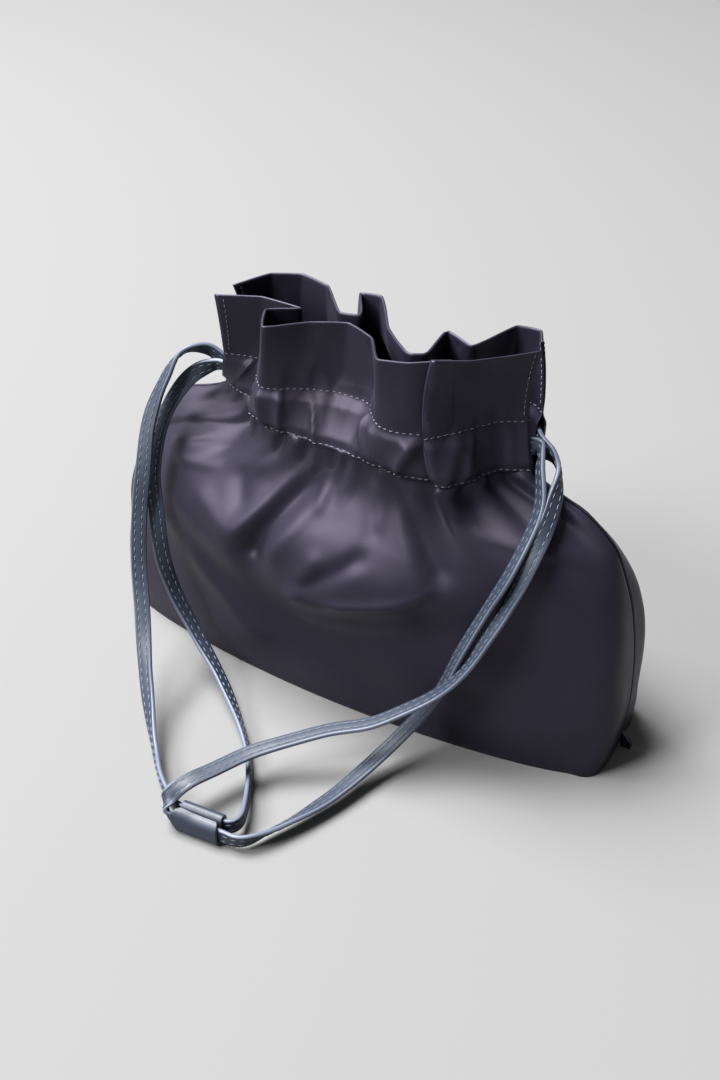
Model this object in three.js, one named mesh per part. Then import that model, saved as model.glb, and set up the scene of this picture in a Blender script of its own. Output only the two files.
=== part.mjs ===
import * as THREE from 'three';

// A soft satin drawstring bag that stands on its boxed bottom. Millimetres, +Z up.
// The origin is the centre of the bottom, and the front faces -Y.

// Driving dimensions of the cloth body
const BASE_LENGTH = 280;
const BASE_DEPTH = 58;
const BASE_THICKNESS = 1.6;
const SHOULDER_HEIGHT = 113;
const CHANNEL_FOOT = 139;
const CHANNEL_HEIGHT = 21;
const COLLAR_HEIGHT = 33;
const NECK_LENGTH = 160;
const NECK_DEPTH = 64;
const CLOTH = 1.2;
const LAYER = 0.6;
const SEAM_GAP = 0.3;
const TAB_LENGTH = 5;
const TAB_HEIGHT = 9;
const TAB_THICKNESS = 2.4;
const TAB_TIP_HEIGHT = 3;

// Driving dimensions of the leather straps and their keeper
const STRAP_WIDTH = 8;
const STRAP_THICKNESS = 2.2;
const STRAP_SOFTNESS = 0.25;
const CHANNEL_CLEARANCE = 0.8;
const MOUTH_RUN = 5;
const KEEPER_RUN = 3;
const KEEPER_LENGTH = 20.5;
const KEEPER_WALL = 1.4;
const KEEPER_CLEARANCE = 0.5;
const KEEPER_RISE = 1.6;
const KEEPER_CORNER = 1.8;
const KEEPER_PLACE = { x: -2.8, y: -146.2, turn: 5.5 };

// How finely the surfaces are cut
const STEPS_PER_FOLD = 4;
const STRAP_STEP = 16;
const PATH_SAMPLES = 72;
const PATH_CROWDING = 3;
const SLOPE_STEP = 0.01;
const ARC_CUTS = 5;
const MOUTH_COLUMNS = 4;

const halfLength = BASE_LENGTH / 2;
const neckHalfLength = NECK_LENGTH / 2;
const neckHalfDepth = NECK_DEPTH / 2;
const channelTop = CHANNEL_FOOT + CHANNEL_HEIGHT;
const brimHeight = channelTop + COLLAR_HEIGHT;

// Plan of the body at several heights. height is a share of SHOULDER_HEIGHT, length of half
// BASE_LENGTH, side and bow of BASE_DEPTH: side is the squared-off end, bow the soft crown.
const bodySections = [
  { height: 0.00, length: 0.990, side: 0.50, bow: 0.27 },
  { height: 0.12, length: 0.996, side: 0.50, bow: 0.31 },
  { height: 0.30, length: 1.000, side: 0.48, bow: 0.36 },
  { height: 0.52, length: 0.988, side: 0.42, bow: 0.43 },
  { height: 0.74, length: 0.957, side: 0.30, bow: 0.52 },
  { height: 0.90, length: 0.912, side: 0.18, bow: 0.58 },
  { height: 1.00, length: 0.872, side: 0.10, bow: 0.58 },
  { height: 1.10, length: 0.785, side: 0.05, bow: 0.55 },
  { height: 1.17, length: 0.690, side: 0.02, bow: 0.52 },
  { height: 1.24, length: 0.580, side: 0.00, bow: 0.49 },
];

// Folds of the gathered front, left to right. Each row is the tip of a fold, at the channel's
// foot, at its top and at the brim. x is a share of half NECK_LENGTH, out of half NECK_DEPTH
// towards the front, and lift raises the brim by a share of COLLAR_HEIGHT.
const frontFolds = [
  { footX: -1.010, footOut: 0.025, topX: -0.920, topOut: 0.34, brimX: -0.900, brimOut: 0.53, lift: 0.00 },
  { footX: -0.860, footOut: 0.28, topX: -0.730, topOut: 0.22, brimX: -0.650, brimOut: 0.24, lift: 0.00 },
  { footX: -0.650, footOut: 0.42, topX: -0.490, topOut: 0.22, brimX: -0.380, brimOut: 0.26, lift: 0.00 },
  { footX: -0.640, footOut: 0.70, topX: -0.610, topOut: 0.56, brimX: -0.550, brimOut: 0.54, lift: 0.00 },
  { footX: -0.480, footOut: 0.88, topX: -0.500, topOut: 0.88, brimX: -0.450, brimOut: 1.00, lift: 0.00 },
  { footX: -0.280, footOut: 0.90, topX: -0.310, topOut: 0.66, brimX: -0.260, brimOut: 0.56, lift: 0.00 },
  { footX: -0.060, footOut: 0.92, topX: -0.090, topOut: 0.48, brimX: -0.070, brimOut: 0.32, lift: 0.00 },
  { footX: 0.150, footOut: 0.94, topX: 0.130, topOut: 0.56, brimX: 0.120, brimOut: 0.52, lift: 0.00 },
  { footX: 0.330, footOut: 0.98, topX: 0.270, topOut: 0.96, brimX: 0.260, brimOut: 1.00, lift: 0.00 },
  { footX: 0.470, footOut: 1.02, topX: 0.440, topOut: 0.94, brimX: 0.430, brimOut: 0.92, lift: 0.02 },
  { footX: 0.610, footOut: 0.90, topX: 0.640, topOut: 0.62, brimX: 0.630, brimOut: 0.62, lift: 0.06 },
  { footX: 0.640, footOut: 1.02, topX: 0.540, topOut: 0.98, brimX: 0.540, brimOut: 0.86, lift: 0.11 },
  { footX: 0.760, footOut: 0.70, topX: 0.690, topOut: 0.46, brimX: 0.700, brimOut: 0.52, lift: 0.05 },
  { footX: 0.860, footOut: 0.26, topX: 0.810, topOut: 0.05, brimX: 0.820, brimOut: 0.12, lift: 0.00 },
  { footX: 1.020, footOut: 0.025, topX: 0.940, topOut: -0.16, brimX: 0.960, brimOut: -0.28, lift: 0.00 },
];

// Folds of the gathered back, left to right, with out still measured towards the front.
const backFolds = [
  { footX: -1.010, footOut: -0.025, topX: -0.900, topOut: -0.04, brimX: -0.880, brimOut: 0.15, lift: 0.00 },
  { footX: -0.860, footOut: -0.42, topX: -0.800, topOut: -0.40, brimX: -0.770, brimOut: -0.42, lift: 0.02 },
  { footX: -0.640, footOut: -0.70, topX: -0.620, topOut: -0.60, brimX: -0.600, brimOut: -0.60, lift: 0.03 },
  { footX: -0.400, footOut: -0.84, topX: -0.400, topOut: -0.56, brimX: -0.390, brimOut: -0.48, lift: 0.03 },
  { footX: -0.250, footOut: -0.72, topX: -0.170, topOut: -0.16, brimX: -0.180, brimOut: 0.10, lift: 0.00 },
  { footX: -0.130, footOut: -0.76, topX: -0.080, topOut: -0.18, brimX: -0.070, brimOut: 0.02, lift: 0.00 },
  { footX: -0.060, footOut: -0.92, topX: -0.140, topOut: -0.56, brimX: -0.190, brimOut: -0.50, lift: 0.03 },
  { footX: 0.080, footOut: -0.94, topX: -0.010, topOut: -0.62, brimX: -0.070, brimOut: -0.56, lift: 0.03 },
  { footX: 0.220, footOut: -0.84, topX: 0.180, topOut: -0.20, brimX: 0.140, brimOut: 0.16, lift: 0.00 },
  { footX: 0.360, footOut: -0.82, topX: 0.370, topOut: 0.16, brimX: 0.370, brimOut: 0.64, lift: 0.00 },
  { footX: 0.440, footOut: -0.88, topX: 0.440, topOut: 0.06, brimX: 0.450, brimOut: 0.54, lift: 0.00 },
  { footX: 0.520, footOut: -0.90, topX: 0.470, topOut: -0.34, brimX: 0.440, brimOut: -0.10, lift: 0.03 },
  { footX: 0.660, footOut: -0.72, topX: 0.630, topOut: -0.24, brimX: 0.620, brimOut: 0.06, lift: 0.00 },
  { footX: 0.800, footOut: -0.62, topX: 0.740, topOut: -0.62, brimX: 0.730, brimOut: -0.76, lift: 0.00 },
  { footX: 0.940, footOut: -0.40, topX: 0.900, topOut: -0.60, brimX: 0.860, brimOut: -0.80, lift: 0.00 },
  { footX: 1.020, footOut: -0.025, topX: 0.970, topOut: -0.46, brimX: 0.920, brimOut: -0.50, lift: 0.00 },
];

// The line where each panel sags over itself. along runs from the left seam to the right, height
// is a share of SHOULDER_HEIGHT, and bulge above it and tuck below it are shares of BASE_DEPTH.
const frontCrease = [
  { along: 0.000, height: 0.53, bulge: 0.00, tuck: 0.00 },
  { along: 0.080, height: 0.71, bulge: 0.02, tuck: 0.02 },
  { along: 0.160, height: 0.78, bulge: 0.07, tuck: 0.05 },
  { along: 0.270, height: 0.75, bulge: 0.12, tuck: 0.10 },
  { along: 0.345, height: 0.70, bulge: 0.14, tuck: 0.12 },
  { along: 0.375, height: 0.75, bulge: 0.08, tuck: 0.09 },
  { along: 0.410, height: 0.67, bulge: 0.12, tuck: 0.10 },
  { along: 0.460, height: 0.61, bulge: 0.15, tuck: 0.14 },
  { along: 0.520, height: 0.67, bulge: 0.15, tuck: 0.14 },
  { along: 0.590, height: 0.74, bulge: 0.15, tuck: 0.14 },
  { along: 0.660, height: 0.83, bulge: 0.14, tuck: 0.13 },
  { along: 0.690, height: 0.92, bulge: 0.08, tuck: 0.10 },
  { along: 0.720, height: 1.00, bulge: 0.06, tuck: 0.08 },
  { along: 0.780, height: 1.04, bulge: 0.10, tuck: 0.08 },
  { along: 0.840, height: 1.03, bulge: 0.08, tuck: 0.06 },
  { along: 0.900, height: 0.97, bulge: 0.03, tuck: 0.03 },
  { along: 1.000, height: 0.60, bulge: 0.00, tuck: 0.00 },
];
const backCrease = [
  { along: 0.000, height: 0.55, bulge: 0.00, tuck: 0.00 },
  { along: 0.200, height: 0.74, bulge: 0.08, tuck: 0.05 },
  { along: 0.400, height: 0.66, bulge: 0.175, tuck: 0.07 },
  { along: 0.520, height: 0.76, bulge: 0.06, tuck: 0.04 },
  { along: 0.700, height: 0.68, bulge: 0.11, tuck: 0.07 },
  { along: 0.860, height: 0.80, bulge: 0.06, tuck: 0.04 },
  { along: 1.000, height: 0.60, bulge: 0.00, tuck: 0.00 },
];

// Single ridges and, with a negative rise, valleys in the cloth, each from one end to the other.
// along and height are shares as above, spread and rise are shares of BASE_DEPTH.
const frontRidges = [
  { along: 0.365, height: 0.76, toAlong: 0.445, toHeight: 1.20, spread: 0.12, rise: -0.11 },
  { along: 0.335, height: 0.88, toAlong: 0.415, toHeight: 1.22, spread: 0.09, rise: 0.05 },
  { along: 0.693, height: 0.92, toAlong: 0.610, toHeight: 1.22, spread: 0.11, rise: -0.10 },
  { along: 0.490, height: 0.74, toAlong: 0.580, toHeight: 0.88, spread: 0.09, rise: -0.05 },
  { along: 0.570, height: 1.12, toAlong: 0.590, toHeight: 0.97, spread: 0.06, rise: -0.03 },
  { along: 0.470, height: 1.22, toAlong: 0.480, toHeight: 1.06, spread: 0.05, rise: -0.03 },
  { along: 0.530, height: 1.22, toAlong: 0.535, toHeight: 1.06, spread: 0.05, rise: -0.03 },
  { along: 0.150, height: 0.98, toAlong: 0.280, toHeight: 1.14, spread: 0.10, rise: -0.07 },
  { along: 0.300, height: 1.04, toAlong: 0.330, toHeight: 0.95, spread: 0.09, rise: -0.06 },
  { along: 0.250, height: 0.95, toAlong: 0.330, toHeight: 1.15, spread: 0.07, rise: 0.04 },
  { along: 0.700, height: 1.15, toAlong: 0.850, toHeight: 1.12, spread: 0.09, rise: -0.07 },
  { along: 0.170, height: 0.66, toAlong: 0.320, toHeight: 0.12, spread: 0.20, rise: 0.05 },
  { along: 0.980, height: 0.30, toAlong: 0.920, toHeight: 0.02, spread: 0.12, rise: 0.05 },
];
const backRidges = [
  { along: 0.240, height: 1.20, toAlong: 0.160, toHeight: 0.80, spread: 0.14, rise: -0.08 },
  { along: 0.480, height: 1.20, toAlong: 0.520, toHeight: 0.76, spread: 0.14, rise: -0.10 },
  { along: 0.700, height: 1.20, toAlong: 0.820, toHeight: 0.86, spread: 0.14, rise: -0.08 },
  { along: 0.360, height: 0.56, toAlong: 0.620, toHeight: 0.10, spread: 0.20, rise: 0.04 },
];

// Shares of the height below and above the crease at which a panel is cut into rows
const rowsBelowCrease = [0, 0.08, 0.34, 0.62, 0.84, 0.94, 1];
const rowsAboveCrease = [0.18, 0.42, 0.70, 1];
const TUCK_SHARE = 0.93;

// Where a panel starts to settle into the gathered neck: in its middle as a share of the shoulder's
// height, and at its ends as a share of the way from there up to the channel's foot
const MIDDLE_SETTLE_SHARE = 0.80;
const END_SETTLE_SHARE = 0.52;
const END_SETTLE_RUN = 0.30;
const END_FADE = 0.07;
const SIDE_SQUARENESS = 8;

// Where the two cloth layers of the collar part, as a share of the way from its edge to the channel
const PARTING_SHARE = 0.4;

// Free stretch of each strap, outwards from its first mouth to its second: x, y and z of its
// centre line, and lean, the tilt of its width out of the level in degrees.
const leftStrapRoute = [
  [-87, -4, 155, 70], [-96, -13, 156, 40], [-101, -23, 144, 12], [-104, -34, 126, 0],
  [-102, -45, 104, -6], [-101, -53, 82, -6], [-97, -62, 62, -4], [-88, -74, 42, 6],
  [-72, -95, 19, 40], [-48, -121, 7, 80], [-34, -134.5, 7, 90], [-24, -141.5, 7.4, 90],
];
const leftStrapReturn = [
  [12.5, -138, 7.4, 90], [9.5, -130, 6.4, 88], [5, -121, 5.2, 84], [-3, -108, 5, 80], [-16, -93, 5.4, 70],
  [-46, -69, 11, 40], [-68, -58, 23, 16], [-83, -54, 42, 0], [-90, -52, 60, -6],
  [-95, -47, 80, -6], [-101, -39, 101, -2], [-101, -25, 126, 14], [-92, -13, 144, 60],
];
const rightStrapRoute = [
  [85.5, -3, 145, 74], [91.5, -14.8, 131.5, 52], [88.8, -33.6, 109.5, 24], [81, -39, 88, 4], [73, -46, 65, -2],
  [65, -51, 39, 0], [58, -57, 25, 2], [52, -66, 16, 6], [46, -81, 9.5, 10], [39, -105, 6.5, 20],
  [29, -129, 6, 45], [18, -146, 6, 80],
];
const rightStrapReturn = [
  [-20.5, -149.5, 9.5, 70], [-19.5, -145.5, 15, 34], [-16, -137, 17.5, 8], [-11, -126, 17, 2],
  [-2, -108, 17, 0], [11, -95, 20, -4],
  [27, -83, 25, -4], [43, -75, 30, -6], [54, -67, 36, -8], [67, -57, 45, -8], [78, -51, 60, -8],
  [84, -46, 75, -6], [90, -38, 92, -2], [95.5, -30, 113.5, 14], [96.8, -13.8, 131.5, 38], [91, 4, 144, 70],
];

const clamp01 = (value) => Math.min(Math.max(value, 0), 1);
const smooth = (value) => clamp01(value) ** 2 * (3 - 2 * clamp01(value));
const mix = (a, b, t) => a + (b - a) * t;

// A smooth value of one column of a table, at a place along another column.
function tableValue(rows, by, column, place) {
  const last = rows.length - 1;
  let k = 0;
  while (k < last - 1 && place > rows[k + 1][by]) k += 1;
  const slope = (j) => {
    const a = rows[Math.max(j - 1, 0)];
    const b = rows[Math.min(j + 1, last)];
    return (b[column] - a[column]) / (b[by] - a[by]);
  };
  const from = rows[k];
  const to = rows[k + 1];
  const span = to[by] - from[by];
  const t = clamp01((place - from[by]) / span);
  const t2 = t * t;
  const t3 = t2 * t;
  return (2 * t3 - 3 * t2 + 1) * from[column] + (t3 - 2 * t2 + t) * span * slope(k)
    + (3 * t2 - 2 * t3) * to[column] + (t3 - t2) * span * slope(k + 1);
}

// Plan path of a gathered cloth at a height between the channel's foot and the brim.
function neckPath(folds, height) {
  const rise = (height - CHANNEL_FOOT) / (brimHeight - CHANNEL_FOOT);
  const top = CHANNEL_HEIGHT / (brimHeight - CHANNEL_FOOT);
  const footWeight = (rise - top) * (rise - 1) / top;
  const topWeight = rise * (rise - 1) / (top * (top - 1));
  const brimWeight = rise * (rise - top) / (1 - top);
  const blend = (fold, name) => footWeight * fold[`foot${name}`] + topWeight * fold[`top${name}`]
    + brimWeight * fold[`brim${name}`];
  const tips = folds.map((fold) => new THREE.Vector3(
    blend(fold, 'X') * neckHalfLength, -blend(fold, 'Out') * neckHalfDepth,
    Math.max(rise, 0) ** 2 * fold.lift * COLLAR_HEIGHT + height));
  const curve = new THREE.CatmullRomCurve3(tips, false, 'centripetal');
  return curve.getPoints((folds.length - 1) * STEPS_PER_FOLD);
}

// Share of its own length at which each point of a path lies.
function lengthShares(path) {
  const sums = [0];
  for (let i = 1; i < path.length; i += 1) sums.push(sums[i - 1] + path[i].distanceTo(path[i - 1]));
  return sums.map((sum) => sum / sums[sums.length - 1]);
}

// Plan path of one half of the body at a height, at the given shares of its length.
function bodyPath(side, height, shares) {
  const place = height / SHOULDER_HEIGHT;
  const reach = halfLength * tableValue(bodySections, 'height', 'length', place);
  const square = BASE_DEPTH * Math.max(tableValue(bodySections, 'height', 'side', place), 0);
  const bow = BASE_DEPTH * tableValue(bodySections, 'height', 'bow', place);
  const fine = [];
  for (let i = 0; i <= PATH_SAMPLES; i += 1) {
    const q = 2 * i / PATH_SAMPLES - 1;
    const x = Math.sign(q) * (1 - (1 - Math.abs(q)) ** PATH_CROWDING);
    const squared = (1 - Math.abs(x) ** SIDE_SQUARENESS) ** (1 / SIDE_SQUARENESS);
    fine.push(new THREE.Vector3(x * reach, side * (square * squared + bow * (1 - x * x)), height));
  }
  const fineShares = lengthShares(fine);
  let k = 0;
  return shares.map((share) => {
    while (k < PATH_SAMPLES - 1 && share > fineShares[k + 1]) k += 1;
    const t = (share - fineShares[k]) / (fineShares[k + 1] - fineShares[k]);
    return fine[k].clone().lerp(fine[k + 1], clamp01(t));
  });
}

// How far the cloth stands out from the plain body at a share along it and a height.
function foldRise(crease, ridges, share, height) {
  const line = SHOULDER_HEIGHT * tableValue(crease, 'along', 'height', share);
  const bulge = BASE_DEPTH * tableValue(crease, 'along', 'bulge', share);
  const tuck = BASE_DEPTH * tableValue(crease, 'along', 'tuck', share);
  let rise = 0;
  if (height < line) {
    const s = height / line;
    rise = s < TUCK_SHARE
      ? -tuck * smooth(s / TUCK_SHARE)
      : mix(-tuck, bulge, smooth((s - TUCK_SHARE) / (1 - TUCK_SHARE)));
  } else {
    const s = (height - line) / (CHANNEL_FOOT - line);
    rise = bulge * (1 - smooth(s));
  }
  for (const ridge of ridges) {
    const ax = ridge.along * 2 * halfLength;
    const ay = ridge.height * SHOULDER_HEIGHT;
    const dx = ridge.toAlong * 2 * halfLength - ax;
    const dy = ridge.toHeight * SHOULDER_HEIGHT - ay;
    const px = share * 2 * halfLength - ax;
    const py = height - ay;
    const t = clamp01((px * dx + py * dy) / (dx * dx + dy * dy));
    const off = Math.hypot(px - t * dx, py - t * dy) / (ridge.spread * BASE_DEPTH);
    rise += ridge.rise * BASE_DEPTH * Math.exp(-off * off);
  }
  const fade = smooth(share / END_FADE) * smooth((1 - share) / END_FADE);
  const topFade = smooth((CHANNEL_FOOT - height) / (CHANNEL_FOOT - SHOULDER_HEIGHT));
  return rise * fade * topFade;
}

// Grid of points of a body panel's middle surface, rows upwards and columns from left to right.
function panelGrid(side, folds, crease, ridges) {
  const foot = neckPath(folds, CHANNEL_FOOT);
  const shares = lengthShares(foot);
  const topHeight = CHANNEL_FOOT - SEAM_GAP / 2;
  const lineAt = (share) => SHOULDER_HEIGHT * tableValue(crease, 'along', 'height', share);
  const heightsAt = (share) => [
    ...rowsBelowCrease.map((s) => s * lineAt(share)),
    ...rowsAboveCrease.map((s) => mix(lineAt(share), topHeight, s)),
  ];
  const count = rowsBelowCrease.length + rowsAboveCrease.length;
  const middleSettleFrom = MIDDLE_SETTLE_SHARE * SHOULDER_HEIGHT;
  const endSettleFrom = mix(SHOULDER_HEIGHT, CHANNEL_FOOT, END_SETTLE_SHARE);
  const grid = [];
  for (let j = 0; j < count; j += 1) {
    grid.push(shares.map((share, i) => {
      const height = heightsAt(share)[j];
      const near = [Math.max(share - SLOPE_STEP, 0), share, Math.min(share + SLOPE_STEP, 1)];
      const [before, point, after] = bodyPath(side, height, near);
      const along = after.clone().sub(before).normalize();
      const inward = smooth(Math.min(share, 1 - share) / END_SETTLE_RUN);
      const settleFrom = mix(endSettleFrom, middleSettleFrom, inward);
      const settle = smooth((height - settleFrom) / (CHANNEL_FOOT - settleFrom));
      const out = new THREE.Vector3(-along.y, along.x, 0).multiplyScalar(side);
      const rise = foldRise(crease, ridges, share, height);
      point.addScaledVector(out, rise);
      point.x = mix(point.x, foot[i].x, settle);
      point.y = mix(point.y, foot[i].y, settle);
      return point;
    }));
  }
  return grid;
}

// Direction square to a grid at each of its points, towards the given side.
function gridNormals(grid, side) {
  const rows = grid.length;
  const columns = grid[0].length;
  return grid.map((row, j) => row.map((point, i) => {
    const along = row[Math.min(i + 1, columns - 1)].clone().sub(row[Math.max(i - 1, 0)]);
    const up = grid[Math.min(j + 1, rows - 1)][i].clone().sub(grid[Math.max(j - 1, 0)][i]);
    return along.cross(up).normalize().multiplyScalar(-side);
  }));
}

function geometryFrom(vertices, faces) {
  const geometry = new THREE.BufferGeometry();
  geometry.setAttribute('position', new THREE.Float32BufferAttribute(vertices.flatMap((v) => v.toArray()), 3));
  geometry.setIndex(faces);
  geometry.computeVertexNormals();
  return geometry;
}

// Closed solid from rings of points, each ring one cross-section. hollows are the rings of a
// channel that runs through, and caps are polygons of ring indices that close both ends.
function ringSolid(rings, hollows, caps) {
  const vertices = [...rings.flat(), ...hollows.flat()];
  const size = rings[0].length;
  const hollowStart = rings.length * size;
  const hollowSize = hollows.length ? hollows[0].length : 0;
  const faces = [];
  const tube = (start, width, inward) => {
    for (let i = 0; i + 1 < rings.length; i += 1) {
      for (let k = 0; k < width; k += 1) {
        const a = start + i * width + k;
        const b = start + i * width + (k + 1) % width;
        const corners = inward ? [a, a + width, b + width, b] : [a, b, b + width, a + width];
        faces.push(corners[0], corners[1], corners[2], corners[0], corners[2], corners[3]);
      }
    }
  };
  tube(0, size, false);
  tube(hollowStart, hollowSize, true);
  const vertexAt = (ring, index) => (index < size ? ring * size + index
    : hollowStart + ring * hollowSize + index - size);
  for (const polygon of caps) {
    for (let k = 1; k + 1 < polygon.length; k += 1) {
      const corner = [polygon[0], polygon[k], polygon[k + 1]];
      const [a, b, c] = corner.map((index) => vertexAt(0, index));
      const [d, e, f] = corner.map((index) => vertexAt(rings.length - 1, index));
      faces.push(a, c, b, d, e, f);
    }
  }
  const corner = (index) => vertices[faces[index]];
  let volume = 0;
  for (let i = 0; i < faces.length; i += 3) {
    volume += corner(i).dot(corner(i + 1).clone().cross(corner(i + 2)));
  }
  if (volume < 0) faces.reverse();
  return geometryFrom(vertices, faces);
}

// A body panel: its middle grid thickened both ways, and kept on its own side of the side seams.
function panelGeometry(side, folds, crease, ridges) {
  const grid = panelGrid(side, folds, crease, ridges);
  const normals = gridNormals(grid, side);
  const rows = grid.length;
  const faceAt = (i, j, sign) => {
    const point = grid[j][i].clone().addScaledVector(normals[j][i], sign * CLOTH / 2);
    point.y = side * Math.max(side * point.y, SEAM_GAP / 2);
    if (j === 0 || j === rows - 1) point.z = grid[j][i].z;
    return point;
  };
  const rings = grid[0].map((_, i) => [
    ...grid.map((row, j) => faceAt(i, j, 1)),
    ...grid.map((row, j) => faceAt(i, j, -1)).reverse(),
  ]);
  const caps = grid.slice(1).map((_, j) => [j, j + 1, 2 * rows - 2 - j, 2 * rows - 1 - j]);
  return ringSolid(rings, [], caps);
}

// Heights across the collar's section as shares of the channel and of the collar above it, with
// how far each stands off the middle surface.
const hollowHalf = STRAP_THICKNESS / 2 + CHANNEL_CLEARANCE;
const hollowHeight = STRAP_WIDTH / 2 + 2 * CHANNEL_CLEARANCE;
const channelMiddle = CHANNEL_FOOT + CHANNEL_HEIGHT / 2;
const collarRows = [
  { height: CHANNEL_FOOT + SEAM_GAP / 2, off: CLOTH / 2 },
  { height: channelMiddle - hollowHeight, off: hollowHalf + LAYER },
  { height: channelMiddle + hollowHeight, off: hollowHalf + LAYER },
  { height: channelTop, off: CLOTH / 2 },
  { height: channelTop + COLLAR_HEIGHT / 2, off: CLOTH / 2 },
  { height: brimHeight, off: CLOTH / 2 },
];
const hollowRows = [
  { height: mix(CHANNEL_FOOT, channelMiddle - hollowHeight, PARTING_SHARE), off: 0 },
  { height: channelMiddle - hollowHeight, off: hollowHalf },
  { height: channelMiddle + hollowHeight, off: hollowHalf },
  { height: mix(channelTop, channelMiddle + hollowHeight, PARTING_SHARE), off: 0 },
  { height: channelMiddle + hollowHeight, off: -hollowHalf },
  { height: channelMiddle - hollowHeight, off: -hollowHalf },
];

// Point of a gathered cloth at a column and height, stood off its middle surface.
function neckPoint(path, i, off) {
  const before = path[Math.max(i - 1, 0)];
  const after = path[Math.min(i + 1, path.length - 1)];
  const along = after.clone().sub(before).setZ(0).normalize();
  return path[i].clone().add(new THREE.Vector3(along.y, -along.x, 0).multiplyScalar(off));
}

// A collar: two layers of cloth that part round the drawstring channel.
function collarGeometry(side, folds) {
  const paths = new Map();
  const pointAt = (i, row, sign) => {
    if (!paths.has(row.height)) paths.set(row.height, neckPath(folds, row.height));
    const point = neckPoint(paths.get(row.height), i, sign * row.off);
    if (row === collarRows[0]) point.y = side * Math.max(side * point.y, SEAM_GAP / 2);
    return point;
  };
  const columns = neckPath(folds, CHANNEL_FOOT).map((_, i) => i);
  const rings = columns.map((i) => [
    ...collarRows.map((row) => pointAt(i, row, 1)),
    ...collarRows.map((row) => pointAt(i, row, -1)).reverse(),
  ]);
  const hollows = columns.map((i) => hollowRows.map((row) => pointAt(i, row, 1)));
  const last = 2 * collarRows.length - 1;
  const hole = last + 1;
  const caps = [
    [0, hole, last],
    [0, 1, hole + 1, hole],
    [1, 2, hole + 2, hole + 1],
    [2, 3, hole + 3, hole + 2],
    [last, hole, hole + 5, last - 1],
    [last - 1, hole + 5, hole + 4, last - 2],
    [last - 2, hole + 4, hole + 3, last - 3],
    [3, last - 3, hole + 3],
    [3, 4, last - 4, last - 3],
    [4, 5, last - 5, last - 4],
  ];
  return ringSolid(rings, hollows, caps);
}

// The flat bottom, inside the feet of both panels.
function baseGeometry() {
  const inset = CLOTH / 2 + SEAM_GAP;
  const outline = [];
  for (const side of [-1, 1]) {
    const folds = side < 0 ? frontFolds : backFolds;
    const path = bodyPath(side, 0, lengthShares(neckPath(folds, CHANNEL_FOOT)));
    const inner = path.map((_, i) => neckPoint(path, i, side * inset));
    const kept = inner.filter((point) => side * point.y > inset);
    outline.push(...(side < 0 ? kept : kept.reverse()));
  }
  const shape = new THREE.Shape(outline.map((point) => new THREE.Vector2(point.x, point.y)));
  return new THREE.ExtrudeGeometry(shape, { depth: BASE_THICKNESS, bevelEnabled: false });
}

// The small seam corner at one end of the bottom.
function tabGeometry(end) {
  const reachAt = (height) => halfLength
    * tableValue(bodySections, 'height', 'length', height / SHOULDER_HEIGHT) + CLOTH / 2 + SEAM_GAP;
  const widest = Math.max(reachAt(0), reachAt(TAB_HEIGHT));
  const shape = new THREE.Shape([
    new THREE.Vector2(end * widest, 0),
    new THREE.Vector2(end * (widest + TAB_LENGTH), 0),
    new THREE.Vector2(end * (widest + TAB_LENGTH), TAB_TIP_HEIGHT),
    new THREE.Vector2(end * widest, TAB_HEIGHT),
  ]);
  const geometry = new THREE.ExtrudeGeometry(shape, { depth: TAB_THICKNESS, bevelEnabled: false });
  return geometry.rotateX(Math.PI / 2).translate(0, TAB_THICKNESS / 2, 0);
}

// Section of the keeper, across its length: a low loop in front and a higher one behind it, each
// wide enough for a strap that stands on edge.
const loopWidth = STRAP_THICKNESS + 2 * KEEPER_CLEARANCE;
const loopHeight = STRAP_WIDTH + 2 * KEEPER_CLEARANCE;
const keeperLoops = [
  { across: -(loopWidth + KEEPER_WALL) / 2, low: KEEPER_WALL },
  { across: (loopWidth + KEEPER_WALL) / 2, low: KEEPER_WALL + KEEPER_RISE },
];

function roundedBox(target, left, right, low, high) {
  const r = (right - left) / 2;
  const middle = (left + right) / 2;
  target.moveTo(left, low + r);
  target.absarc(middle, low + r, r, Math.PI, 2 * Math.PI, false);
  target.lineTo(right, high - r);
  target.absarc(middle, high - r, r, 0, Math.PI, false);
  target.lineTo(left, low + r);
  return target;
}

// The keeper: both loops in one wrapped strip, its length along X, standing on the surface.
function keeperGeometry() {
  const loops = keeperLoops.length;
  const outerHalf = (loops * loopWidth + (loops + 1) * KEEPER_WALL) / 2;
  const top = KEEPER_WALL + loopHeight + KEEPER_WALL;
  const shape = new THREE.Shape();
  const corner = KEEPER_CORNER;
  shape.moveTo(-outerHalf + corner, 0);
  shape.lineTo(outerHalf - corner, 0);
  shape.quadraticCurveTo(outerHalf, 0, outerHalf, corner);
  shape.lineTo(outerHalf, top + KEEPER_RISE - corner);
  shape.quadraticCurveTo(outerHalf, top + KEEPER_RISE, outerHalf - corner, top + KEEPER_RISE);
  shape.lineTo(corner, top + KEEPER_RISE);
  shape.quadraticCurveTo(0, top + KEEPER_RISE, -corner / 2, top);
  shape.lineTo(-outerHalf + corner, top);
  shape.quadraticCurveTo(-outerHalf, top, -outerHalf, top - corner);
  shape.lineTo(-outerHalf, corner);
  shape.quadraticCurveTo(-outerHalf, 0, -outerHalf + corner, 0);
  for (const loop of keeperLoops) {
    const half = loopWidth / 2;
    shape.holes.push(roundedBox(new THREE.Path(), loop.across - half, loop.across + half,
      loop.low, loop.low + loopHeight));
  }
  const geometry = new THREE.ExtrudeGeometry(shape, {
    depth: KEEPER_LENGTH, bevelEnabled: false, curveSegments: ARC_CUTS,
  });
  return geometry.rotateX(Math.PI / 2).rotateZ(Math.PI / 2).translate(-KEEPER_LENGTH / 2, 0, 0);
}

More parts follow.
